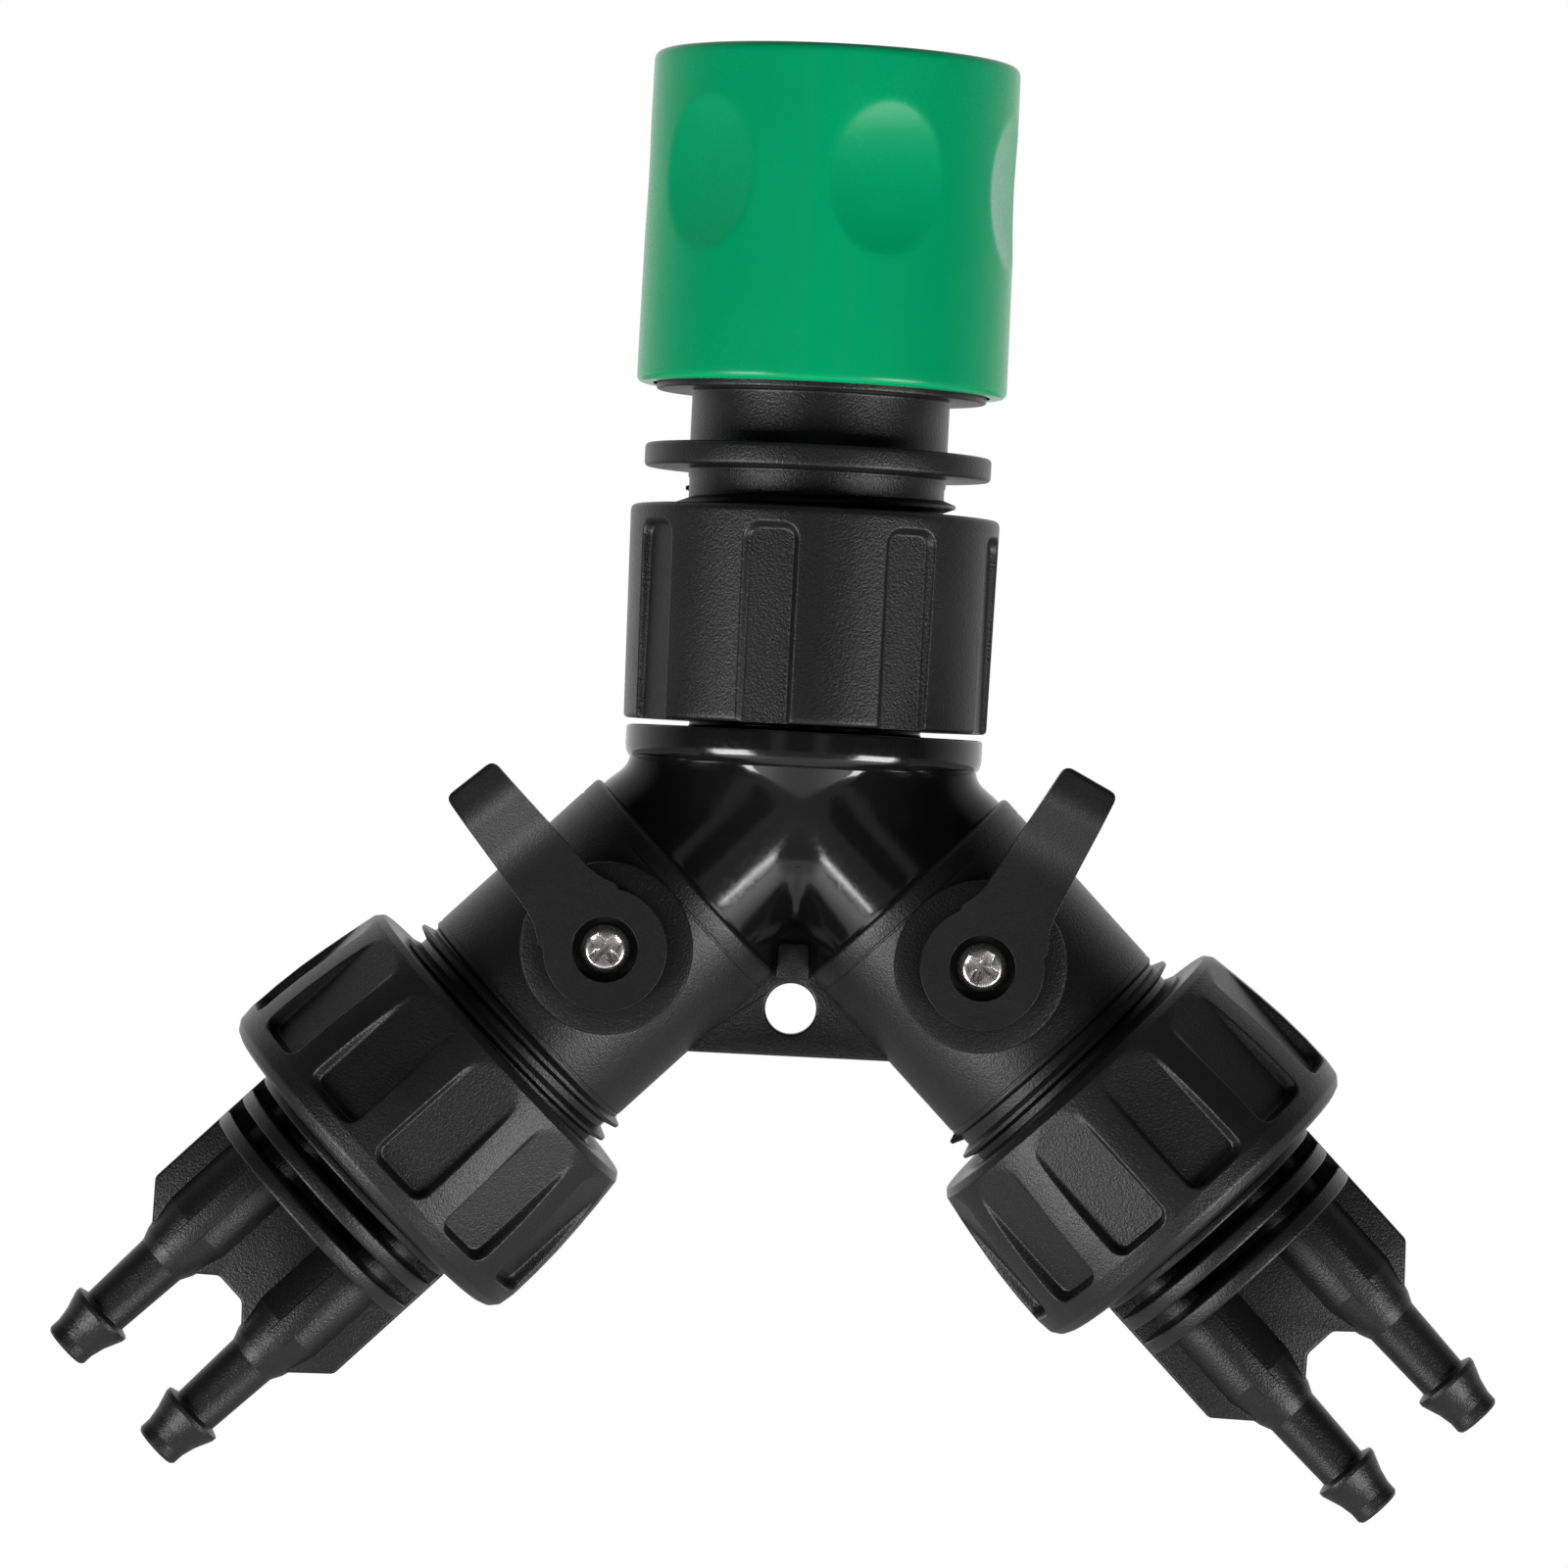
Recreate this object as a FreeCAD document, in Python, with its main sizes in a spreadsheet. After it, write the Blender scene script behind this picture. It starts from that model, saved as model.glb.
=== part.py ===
import FreeCAD, Part
import os
import Sketcher

# Hose splitter: a sprung push-fit hose socket and a swivel nut feed a forked body whose two
# ball valves end in union nuts, each holding a twin-barb hose adapter.
# Column heights are measured up from the junction of the arm axes; arm stations are measured
# outward from the same junction. The document origin is the mouth of the hose socket bore.

SIZES = (
    # whole layout
    ("socket_mouth_height", 58.0), ("arm_tilt", 135.0), ("valve_station", 24.6),
    ("running_gap", 0.05), ("easy_gap", 0.3), ("press_gap", 0.02), ("cut_margin", 1.0),
    # pipe thread shared by the inlet and both outlets
    ("thread_pitch", 1.814), ("thread_root_r", 12.06), ("thread_crest_r", 13.2),
    ("thread_crest_half", 0.12), ("thread_root_half", 0.714), ("thread_sink", 0.2),
    ("thread_flank_gap", 0.15), ("thread_crest_gap", 0.22), ("thread_bore_gap", 0.29),
    ("relief_r", 13.6),
    # inlet collar, neck and retaining bead of the forked body
    ("collar_r", 16.85), ("collar_low", 1.3), ("collar_top", 3.6), ("collar_round", 0.9),
    ("throat_r", 13.4), ("throat_low", 7.0), ("throat_slope", 3.4),
    ("neck_r", 10.95), ("bead_r", 11.9), ("bead_low", 7.7), ("bead_high", 9.3),
    ("neck_top", 10.4), ("neck_tip_r", 11.2), ("inlet_bore_r", 8.0),
    # arms
    ("tube_r", 10.2), ("waterway_r", 6.5), ("housing_r", 12.4), ("housing_start", 14.7),
    ("housing_end", 35.2), ("seam_inner", 16.6), ("seam_outer", 34.6), ("seam_depth", 0.2),
    ("seam_width", 0.3), ("shoulder_round", 0.6), ("spigot_end", 49.2), ("spigot_chamfer", 0.7),
    ("chamber_r", 9.1), ("chamber_start", 15.4), ("gusset_reach", 12.3),
    ("gusset_end", 14.2), ("gusset_half", 5.5), ("gusset_start", 2.0),
    # valve boss and stem passage
    ("boss_r", 8.05), ("boss_top", 13.2), ("boss_low", 9.5), ("pocket_r", 4.6),
    ("pocket_top", 10.2), ("pocket_low", 7.6), ("track_inner_r", 4.0), ("track_outer_r", 5.4),
    ("track_depth", 0.9), ("closed_past_square", 20.0), ("stop_slack", 1.0),
    # fixing tab between the arms
    ("tab_half", 1.5), ("tab_bottom", 27.0), ("tab_side", 10.5), ("tab_waist", 3.6),
    ("tab_waist_height", 18.3), ("tab_head", 3.6), ("tab_top", 13.0), ("tab_hole_r", 2.4),
    ("tab_hole_height", 22.5), ("pad_half_width", 1.6), ("pad_top", 16.2), ("pad_low", 19.6),
    ("pad_rise", 0.8),
    # ball and its seats
    ("ball_r", 8.6), ("ball_bore_r", 5.2), ("ball_slot_half", 1.55), ("ball_slot_floor", 6.3),
    ("seat_bore_r", 6.2), ("seat_near", 5.2), ("seat_far", 9.2), ("retainer_length", 3.2),
    ("retainer_slot", 2.0), ("retainer_slot_depth", 1.2),
    # stem
    ("tang_half_width", 1.5), ("tang_half_length", 3.2), ("tang_low", 6.45),
    ("flange_r", 4.4), ("flange_low", 8.8), ("flange_top", 9.9), ("stem_r", 3.2),
    ("stem_groove_r", 2.35), ("stem_groove_low", 11.3), ("stem_groove_top", 12.3),
    ("stem_ring_r", 0.44), ("drive_side", 4.4), ("drive_low", 13.3), ("stem_top", 15.2),
    ("pilot_r", 1.27), ("pilot_low", 9.6),
    # lever and its screw
    ("hub_r", 5.7), ("hub_low", 13.5), ("hub_top", 18.5), ("hub_edge", 0.4),
    ("well_r", 3.05), ("well_floor", 16.3), ("screw_hole_r", 1.45), ("socket_side", 4.5),
    ("socket_top", 15.35), ("lever_reach", 20.0), ("lever_root_half", 3.6),
    ("lever_tip_half", 2.75), ("lever_low", 14.6), ("lever_bend_low", 9.5),
    ("lever_bend_mid", 13.4), ("lever_mid_low", 17.3), ("lever_bend_high", 16.2),
    ("lever_tip_low", 18.9), ("lever_tip_top", 22.0), ("lever_pad_start", 17.0),
    ("lever_rise_start", 11.8), ("lever_tip_round", 0.7), ("lug_inner", 4.25),
    ("lug_outer", 5.15), ("lug_half", 0.8), ("lug_low", 12.6), ("left_lever_past", 4.0),
    ("right_lever_past", 18.0), ("square_angle", 45.0), ("half_turn", 180.0),
    ("quarter_turn", 90.0), ("full_turn", 360.0), ("screw_r", 1.25), ("screw_low", 9.9), ("head_r", 2.1),
    ("head_top", 17.8), ("head_shoulder", 17.2), ("head_crown_r", 1.5),
    ("recess_half", 0.38), ("recess_reach", 1.45), ("recess_floor", 16.9),
    # inlet swivel nut
    ("inut_low", 4.2), ("inut_top", 24.4), ("inut_low_r", 17.15), ("inut_top_r", 17.45),
    ("inut_lip_r", 11.3), ("inut_lip_top", 7.4), ("inut_relief_top", 12.2), ("inut_edge", 0.5),
    ("flute_count", 8), ("flute_half", 2.65), ("flute_floor", 16.45), ("flute_top", 22.8),
    ("flute_corner", 1.6), ("flute_phase", -13.5),
    ("inlet_thread_start", 13.7), ("inlet_thread_height", 12.6), ("inlet_groove_height", 14.6),
    # hose washer at the inlet
    ("iwasher_top", 12.6), ("washer_r", 11.9),
    # push-fit socket
    ("wrench_r", 16.375), ("wrench_low", 28.0), ("wrench_top", 30.2), ("wrench_edge", 0.4),
    ("shank_r", 12.175), ("thread_end", 27.0), ("rim_r", 15.6), ("rim_low", 35.3),
    ("rim_top", 36.5), ("core_r", 12.2), ("core_top", 48.0), ("barrel_r", 10.6),
    ("socket_r", 8.6), ("socket_floor", 41.0), ("through_r", 7.5),
    ("seal_height", 45.2), ("seal_mean_r", 9.38), ("seal_section_r", 0.7), ("seal_groove_r", 10.15),
    ("seal_groove_half", 0.85),
    ("cap_low", 52.3), ("cap_base_top", 53.3), ("cap_wall_in", 12.35), ("cap_wall_out", 13.6),
    ("cap_head_low", 64.0), ("cap_head_top", 66.6), ("cap_head_r", 15.0), ("cap_mouth_r", 9.4),
    ("cap_entry_r", 10.8), ("window_half", 2.9), ("window_low", 57.0), ("window_top", 63.0),
    ("claw_count", 4), ("claw_low", 53.4), ("claw_ring_top", 55.4), ("claw_in", 10.7),
    ("claw_out", 12.1), ("claw_top", 62.4), ("claw_hook_low", 59.6), ("claw_hook_in", 9.0),
    ("claw_gap_half", 4.6),
    # release sleeve and its spring
    ("sleeve_r", 17.3), ("sleeve_low_r", 17.5), ("sleeve_low", 35.9), ("sleeve_top", 67.2), ("sleeve_top_round", 1.4),
    ("round_share", 0.3),
    ("sleeve_low_round", 1.2), ("sleeve_low_in", 15.95), ("sleeve_step_low", 50.0),
    ("sleeve_step_in", 12.7), ("sleeve_mid_in", 14.0), ("sleeve_mid_top", 63.5),
    ("sleeve_mouth_in", 15.3), ("dimple_count", 6), ("dimple_height", 55.2),
    ("dimple_centre_r", 22.0), ("dimple_depth_r", 5.6), ("dimple_wide_r", 33.0),
    ("dimple_tall_r", 12.7), ("dimple_phase", 17.0),
    ("spring_r", 13.9), ("wire_r", 0.6), ("spring_pitch", 2.46), ("spring_height", 12.2),
    # outlet union nuts
    ("onut_start", 38.4), ("onut_end", 56.1), ("onut_face_r", 16.4), ("onut_shoulder", 39.1),
    ("onut_shoulder_r", 16.95), ("onut_a", 41.8), ("onut_a_r", 17.4), ("onut_b", 44.7),
    ("onut_b_r", 17.8), ("onut_c", 47.6), ("onut_c_r", 18.13), ("onut_d", 50.5),
    ("onut_d_r", 18.32), ("onut_e", 53.4), ("onut_e_r", 18.38), ("onut_f", 55.0),
    ("onut_f_r", 18.2), ("onut_g", 55.8), ("onut_g_r", 17.6), ("onut_end_r", 16.9),
    ("onut_lip", 53.6), ("onut_lip_r", 10.4), ("onut_relief", 50.8), ("grip_count", 12),
    ("grip_half", 3.55), ("grip_floor", 16.4), ("grip_end", 53.3), ("grip_corner", 0.8),
    ("grip_phase", 8.0), ("outlet_thread_start", 35.5), ("outlet_thread_height", 12.7),
    ("outlet_groove_height", 14.4),
    # twin-barb adapters
    ("plug_bead_r", 11.1), ("plug_bead_start", 51.4), ("plug_bead_end", 53.2),
    ("plug_r", 10.05), ("disc_r", 12.55), ("disc_one", 56.4), ("disc_one_end", 57.3),
    ("disc_two", 58.6), ("disc_thick", 1.45), ("disc_step", 3.0), ("plenum_r", 8.2),
    ("plenum_end", 57.6), ("plate_half", 1.3), ("plate_shoulder", 71.0), ("plate_end", 74.8),
    ("plate_notch", 72.8), ("notch_half", 1.6), ("notch_mouth", 3.7), ("plate_tip", 8.9),
    ("barb_offset", 6.35), ("duct_r", 3.95), ("land_half", 1.0), ("land_rise", 4.35),
    ("land_end", 72.9), ("stem_root_r", 3.1), ("stem_root_end", 75.8), ("barb_stem_r", 2.58),
    ("barb_neck_r", 2.38), ("barb_neck", 83.1), ("barb_r", 3.25), ("barb_head", 83.4),
    ("barb_land", 0.5), ("barb_mid", 85.6), ("barb_mid_r", 2.6), ("barb_nose", 86.9),
    ("barb_nose_r", 2.33), ("barb_tip", 88.2), ("barb_tip_r", 2.15), ("barb_bore_r", 1.5),
    ("owasher_bore_r", 8.2),
)

doc = FreeCAD.newDocument("hose_splitter")
sheet = doc.addObject("Spreadsheet::Sheet", "sizes")


class Size:
    """A number that keeps the sheet formula it came from."""

    def __init__(self, value, text):
        self.value = value
        self.text = text

    def __add__(self, other):
        return Size(self.value + other.value, "(" + self.text + " + " + other.text + ")")

    def __sub__(self, other):
        return Size(self.value - other.value, "(" + self.text + " - " + other.text + ")")

    def __mul__(self, other):
        return Size(self.value * other.value, "(" + self.text + " * " + other.text + ")")

    def __truediv__(self, other):
        return Size(self.value / other.value, "(" + self.text + " / " + other.text + ")")

    def __neg__(self):
        return Size(-self.value, "(0 - " + self.text + ")")


class Sizes:
    """Looks up a named size from the sheet."""

    def __getattr__(self, name):
        return Size(float(sheet.get(name)), "sizes." + name)


def formula(text):
    """A size whose number only the sheet works out."""
    return Size(0.0, text)


ZERO = Size(0.0, "0")
TWO = Size(2.0, "2")
ROOT_HALF = Size(0.5 ** 0.5, "sqrt(0.5)")
d = Sizes()
nodes = []


def write_sheet():
    """Fills the sheet with the driving dimensions."""
    for row, (name, value) in enumerate(SIZES, start=1):
        sheet.set("A" + str(row), name)
        sheet.set("B" + str(row), str(value))
        sheet.setAlias("B" + str(row), name)
    doc.recompute()


def bind(item, prop, size):
    item.setExpression(prop, size.text)


def place(item, x=ZERO, y=ZERO, z=ZERO, yaw=ZERO, pitch=ZERO, roll=ZERO):
    """Binds an object's placement to the sheet."""
    base = "create(<<vector>>; " + x.text + "; " + y.text + "; " + z.text + ")"
    turn = "create(<<rotation>>; " + yaw.text + "; " + pitch.text + "; " + roll.text + ")"
    item.setExpression("Placement", "create(<<placement>>; " + base + "; " + turn + ")")
    return item


def plane_of(body, role):
    for feature in body.Origin.OriginFeatures:
        if feature.Role == role:
            return feature
    return None


def draw(sketch, points):
    """Draws a closed outline and ties every corner to the sheet."""
    count = len(points)
    for index in range(count):
        start = points[index]
        end = points[(index + 1) % count]
        first = FreeCAD.Vector(start[0].value, start[1].value, 0)
        last = FreeCAD.Vector(end[0].value, end[1].value, 0)
        sketch.addGeometry(Part.LineSegment(first, last), False)
    for index in range(count):
        sketch.addConstraint(Sketcher.Constraint("Coincident", index, 2, (index + 1) % count, 1))
    for index in range(count):
        for kind, size in (("DistanceX", points[index][0]), ("DistanceY", points[index][1])):
            rule = Sketcher.Constraint(kind, -1, 1, index, 1, size.value)
            sketch.setExpression("Constraints[" + str(sketch.addConstraint(rule)) + "]", size.text)
    return sketch


def outline(body, role, name, points, offset=None):
    """A sketch on one of the body's own origin planes."""
    sketch = body.newObject("Sketcher::SketchObject", name)
    sketch.AttachmentSupport = (plane_of(body, role), [""])
    sketch.MapMode = "FlatFace"
    if offset is not None:
        sketch.setExpression("AttachmentOffset.Base.z", offset.text)
    return draw(sketch, points)


def turned(name, points):
    """A body turned about its vertical axis."""
    body = doc.addObject("PartDesign::Body", name)
    sketch = outline(body, "XZ_Plane", name + "_profile", points)
    turn = body.newObject("PartDesign::Revolution", name + "_turn")
    turn.Profile = sketch
    turn.ReferenceAxis = (sketch, ["V_Axis"])
    body.Tip = turn
    return body


def milled(name, role, points, half):
    """A body padded evenly to both sides of one of its origin planes."""
    body = doc.addObject("PartDesign::Body", name)
    sketch = outline(body, role, name + "_outline", points)
    pad = body.newObject("PartDesign::Pad", name + "_pad")
    pad.Profile = sketch
    pad.SideType = "Symmetric"
    bind(pad, "Length", half * TWO)
    body.Tip = pad
    return body


def around(body, name, points, floor, count, phase):
    """Pockets from a flat floor outward, repeated round the vertical axis."""
    sketch = outline(body, "XZ_Plane", name + "_outline", points, floor)
    pocket = body.newObject("PartDesign::Pocket", name)
    pocket.Profile = sketch
    pocket.Type = "ThroughAll"
    pocket.Reversed = True
    pattern = body.newObject("PartDesign::PolarPattern", name + "_pattern")
    pattern.Originals = [pocket]
    pattern.Axis = (plane_of(body, "Z_Axis"), [""])
    bind(pattern, "Angle", d.full_turn)
    bind(pattern, "Occurrences", count)
    body.Tip = pattern
    return place(body, yaw=phase)


def cylinder(name, radius, height, **where):
    item = doc.addObject("Part::Cylinder", name)
    bind(item, "Radius", radius)
    bind(item, "Height", height)
    return place(item, **where)


def box(name, length, width, height, **where):
    item = doc.addObject("Part::Box", name)
    bind(item, "Length", length)
    bind(item, "Width", width)
    bind(item, "Height", height)
    return place(item, **where)


def ring(name, mean, section, **where):
    item = doc.addObject("Part::Torus", name)
    bind(item, "Radius1", mean)
    bind(item, "Radius2", section)
    return place(item, **where)


def join(name, items):
    fused = doc.addObject("Part::MultiFuse", name)
    fused.Shapes = items
    fused.Refine = True
    return fused


def cut(name, base, tools):
    """Removes one or more tools from a base."""
    tool = tools[0]
    if len(tools) > 1:
        tool = join(name + "_tools", tools)
        tool.Refine = False
    result = doc.addObject("Part::Cut", name)
    result.Base = base
    result.Tool = tool
    result.Refine = True
    return result


def meet(name, first, second):
    result = doc.addObject("Part::Common", name)
    result.Base = first
    result.Tool = second
    return result


def coil(name, radius, pitch, height, section, **where):
    """Sweeps a closed outline along a right-hand helix that starts at height zero."""
    helix = doc.addObject("Part::Helix", name + "_helix")
    bind(helix, "Radius", radius)
    bind(helix, "Pitch", pitch)
    bind(helix, "Height", height)
    sweep = doc.addObject("Part::Sweep", name)
    sweep.Sections = [section]
    sweep.Spine = (helix, [])
    sweep.Solid = True
    sweep.Frenet = True
    return place(sweep, **where)


def thread(name, height, bore_r, crest_r, extra, **where):
    """A helical V ridge; extra widens both flanks."""
    slope = (d.thread_root_half - d.thread_crest_half) / (d.thread_crest_r - d.thread_root_r)
    base_half = d.thread_crest_half + (d.thread_crest_r - bore_r) * slope + extra
    tip_half = d.thread_crest_half + (d.thread_crest_r - crest_r) * slope + extra
    sketch = doc.addObject("Sketcher::SketchObject", name + "_section")
    place(sketch, roll=d.quarter_turn)
    draw(sketch, [(bore_r, -base_half), (crest_r, -tip_half), (crest_r, tip_half),
                  (bore_r, base_half)])
    return coil(name, d.thread_root_r, d.thread_pitch, height, sketch, **where)


def male_thread(name, height, **where):
    return thread(name, height, d.thread_root_r - d.thread_sink, d.thread_crest_r, ZERO, **where)


def female_thread(name, height, **where):
    bore = d.thread_root_r + d.thread_bore_gap - d.thread_sink
    crest = d.thread_crest_r + d.thread_crest_gap
    return thread(name, height, bore, crest, d.thread_flank_gap, **where)


def thread_phase(side):
    """Both spigot threads start on the column's left."""
    if side == "left":
        return d.half_turn
    return ZERO


def node(label, item, **where):
    """Names a finished piece and puts it in the assembly."""
    if where:
        place(item, **where)
    item.Label = label
    nodes.append(item)
    return item


def on_column():
    return {"z": -d.socket_mouth_height}


def on_arm(side):
    tilt = d.arm_tilt
    if side == "left":
        tilt = -d.arm_tilt
    return {"z": -d.socket_mouth_height, "pitch": tilt}


def on_valve(side):
    """Stem axis toward the front, lever direction along the piece's own X."""
    reach = d.valve_station * ROOT_HALF
    angle = d.square_angle + d.right_lever_past
    across = reach
    if side == "left":
        angle = d.half_turn - d.square_angle - d.left_lever_past
        across = -reach
    drop = -(d.socket_mouth_height + reach)
    return {"x": across, "z": drop, "pitch": -angle, "roll": d.quarter_turn}


# ---------------------------------------------------------------- forked body

def inlet_stub():
    """Collar, neck and retaining bead above the junction."""
    return turned("inlet_stub", [
        (d.inlet_bore_r, d.collar_low), (d.collar_r - d.collar_round, d.collar_low),
        (d.collar_r, d.collar_low + d.collar_round), (d.collar_r, d.collar_top),
        (d.neck_r, d.collar_top), (d.neck_r, d.bead_low), (d.bead_r, d.bead_low),
        (d.bead_r, d.bead_high), (d.neck_tip_r, d.neck_top), (d.inlet_bore_r, d.neck_top)])


def throat():
    """Short tapered throat that carries the collar on the two arm tubes."""
    item = doc.addObject("Part::Cone", "throat")
    bind(item, "Radius1", d.throat_r - d.throat_slope)
    bind(item, "Radius2", d.throat_r)
    bind(item, "Height", d.throat_low + d.collar_low)
    return place(item, z=-d.throat_low)


def housing(side):
    """Valve housing and threaded spigot of one arm, along its own axis."""
    seams = []
    for seam in (d.seam_inner, d.seam_outer):
        seams += [(d.housing_r, seam), (d.housing_r - d.seam_depth, seam),
                  (d.housing_r - d.seam_depth, seam + d.seam_width),
                  (d.housing_r, seam + d.seam_width)]
    round_r = d.shoulder_round
    points = [(d.waterway_r, d.housing_start), (d.housing_r - round_r, d.housing_start),
              (d.housing_r, d.housing_start + round_r)] + seams + [
        (d.housing_r, d.housing_end), (d.thread_root_r, d.housing_end + d.easy_gap),
        (d.thread_root_r, d.spigot_end - d.spigot_chamfer),
        (d.thread_root_r - d.spigot_chamfer, d.spigot_end), (d.waterway_r, d.spigot_end)]
    body = turned(side + "_housing", points)
    ridge = male_thread(side + "_spigot_thread", d.outlet_thread_height,
                        z=d.outlet_thread_start, yaw=thread_phase(side))
    tube = cylinder(side + "_tube", d.tube_r, d.housing_start + d.cut_margin)
    gusset = gusset_of(side)
    boss = cylinder(side + "_boss", d.boss_r, d.boss_top - d.boss_low,
                    y=-d.boss_low, z=d.valve_station, roll=d.quarter_turn)
    arm = join(side + "_arm", [body, ridge, tube, gusset, boss])
    return place(arm, pitch=on_arm(side)["pitch"])


def gusset_of(side):
    """Flat-faced web that fills the corner below the collar, up to its underside."""
    start = d.gusset_start
    reach = d.gusset_reach
    lift = (d.collar_low + d.easy_gap) / ROOT_HALF
    points = [(ZERO, start), (start + lift, start), (reach, reach - lift),
              (reach, d.gusset_end), (ZERO, d.gusset_end)]
    if side == "right":
        points = [(-x, z) for x, z in points]
    return milled(side + "_gusset", "XZ_Plane", points, d.gusset_half)


def arm_cuts(side):
    """Waterway, ball chamber, stem passage and stop track of one arm."""
    way = cylinder(side + "_waterway", d.waterway_r, d.housing_start + d.cut_margin)
    chamber = cylinder(side + "_chamber", d.chamber_r,
                       d.spigot_end + d.cut_margin - d.chamber_start, z=d.chamber_start)
    passage = cylinder(side + "_passage", d.stem_r + d.running_gap, d.boss_top,
                       z=d.valve_station, roll=d.quarter_turn)
    pocket = cylinder(side + "_pocket", d.pocket_r, d.pocket_top - d.pocket_low,
                      y=-d.pocket_low, z=d.valve_station, roll=d.quarter_turn)
    tools = join(side + "_arm_cuts", [way, chamber, passage, pocket])
    tools.Refine = False
    return place(tools, pitch=on_arm(side)["pitch"])


def stop_track(side):
    """Arc groove in the boss face for the lever's stop lug."""
    sweep_angle = d.quarter_turn + d.closed_past_square + d.stop_slack * TWO
    lug_angle = formula("(2 * asin(" + d.lug_half.text + " / " + d.lug_inner.text + ") / 1 deg)")
    outer = cylinder(side + "_track_outer", d.track_outer_r, d.boss_top)
    bind(outer, "Angle", sweep_angle + lug_angle)
    inner = cylinder(side + "_track_inner", d.track_inner_r, d.boss_top + d.cut_margin)
    track = cut(side + "_track", outer, [inner])
    reach = d.valve_station * ROOT_HALF
    lift = d.boss_top - d.track_depth
    half_lug = lug_angle / TWO
    start = -d.square_angle - d.stop_slack - half_lug
    across = reach
    if side == "left":
        start = d.quarter_turn + d.square_angle - d.closed_past_square - d.stop_slack - half_lug
        across = -reach
    return place(track, x=across, y=-lift, z=-reach, pitch=-start, roll=d.quarter_turn)


def tab():
    """Mid-plane tab with its raised pad."""
    plate = milled("tab_plate", "XZ_Plane", [
        (-d.tab_side, -d.tab_bottom), (d.tab_side, -d.tab_bottom),
        (d.tab_waist, -d.tab_waist_height), (d.tab_head, -d.tab_top),
        (-d.tab_head, -d.tab_top), (-d.tab_waist, -d.tab_waist_height)], d.tab_half)
    rise = d.tab_half + d.pad_rise
    pad = box("tab_pad", d.pad_half_width * TWO, rise, d.pad_low - d.pad_top,
              x=-d.pad_half_width, y=-rise, z=-d.pad_low)
    return [plate, pad]


def splitter_body():
    sides = ("left", "right")
    solids = [inlet_stub(), throat()] + tab() + [housing(side) for side in sides]
    blank = join("splitter_blank", solids)
    tools = [cylinder("inlet_bore", d.inlet_bore_r, d.neck_top + d.cut_margin),
             cylinder("tab_hole", d.tab_hole_r, d.tab_half * TWO + d.cut_margin * TWO,
                      y=d.tab_half + d.cut_margin, z=-d.tab_hole_height, roll=d.quarter_turn)]
    for side in sides:
        tools += [arm_cuts(side), stop_track(side)]
    node("splitter_body", cut("splitter_body", blank, tools), **on_column())


def inlet_washer():
    node("inlet_washer", turned("inlet_washer", [
        (d.inlet_bore_r, d.neck_top + d.press_gap), (d.washer_r, d.neck_top + d.press_gap),
        (d.washer_r, d.iwasher_top - d.press_gap),
        (d.inlet_bore_r, d.iwasher_top - d.press_gap)]), **on_column())


def seat(side, which, near, far):
    """A seat ring with a spherical face; near and far are stations of its two ends."""
    outer_r = d.chamber_r - d.press_gap
    blank = turned(side + "_" + which + "_blank", [
        (d.seat_bore_r, near), (outer_r, near), (outer_r, far), (d.seat_bore_r, far)])
    hollow = doc.addObject("Part::Sphere", side + "_" + which + "_hollow")
    bind(hollow, "Radius", d.ball_r + d.running_gap)
    place(hollow, z=d.valve_station)
    name = side + "_" + which
    node(name, cut(name, blank, [hollow]), **on_arm(side))


def seats(side):
    seat(side, "inner_seat", d.valve_station - d.seat_far, d.valve_station - d.seat_near)
    seat(side, "outer_seat", d.valve_station + d.seat_near, d.valve_station + d.seat_far)


def seat_retainer(side):
    start = d.valve_station + d.seat_far + d.press_gap
    end = start + d.retainer_length
    outer_r = d.chamber_r - d.press_gap
    blank = turned(side + "_retainer_blank", [
        (d.seat_bore_r, start), (outer_r, start), (outer_r, end), (d.seat_bore_r, end)])
    slot = box(side + "_retainer_slot", outer_r * TWO, d.retainer_slot, d.retainer_slot_depth
               + d.cut_margin, x=-outer_r, y=-(d.retainer_slot / TWO), z=end
               - d.retainer_slot_depth)
    name = side + "_seat_retainer"
    node(name, cut(name, blank, [slot]), **on_arm(side))


# ---------------------------------------------------------------- valves

def ball(side):
    sphere = doc.addObject("Part::Sphere", side + "_sphere")
    bind(sphere, "Radius", d.ball_r)
    bore = cylinder(side + "_ball_bore", d.ball_bore_r, d.ball_r * TWO + d.cut_margin * TWO,
                    x=-(d.ball_r + d.cut_margin), pitch=d.quarter_turn)
    slot = box(side + "_ball_slot", d.ball_slot_half * TWO, d.ball_r * TWO, d.ball_r,
               x=-d.ball_slot_half, y=-d.ball_r, z=d.ball_slot_floor)
    name = side + "_ball"
    node(name, cut(name, sphere, [bore, slot]), **on_valve(side))


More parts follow.
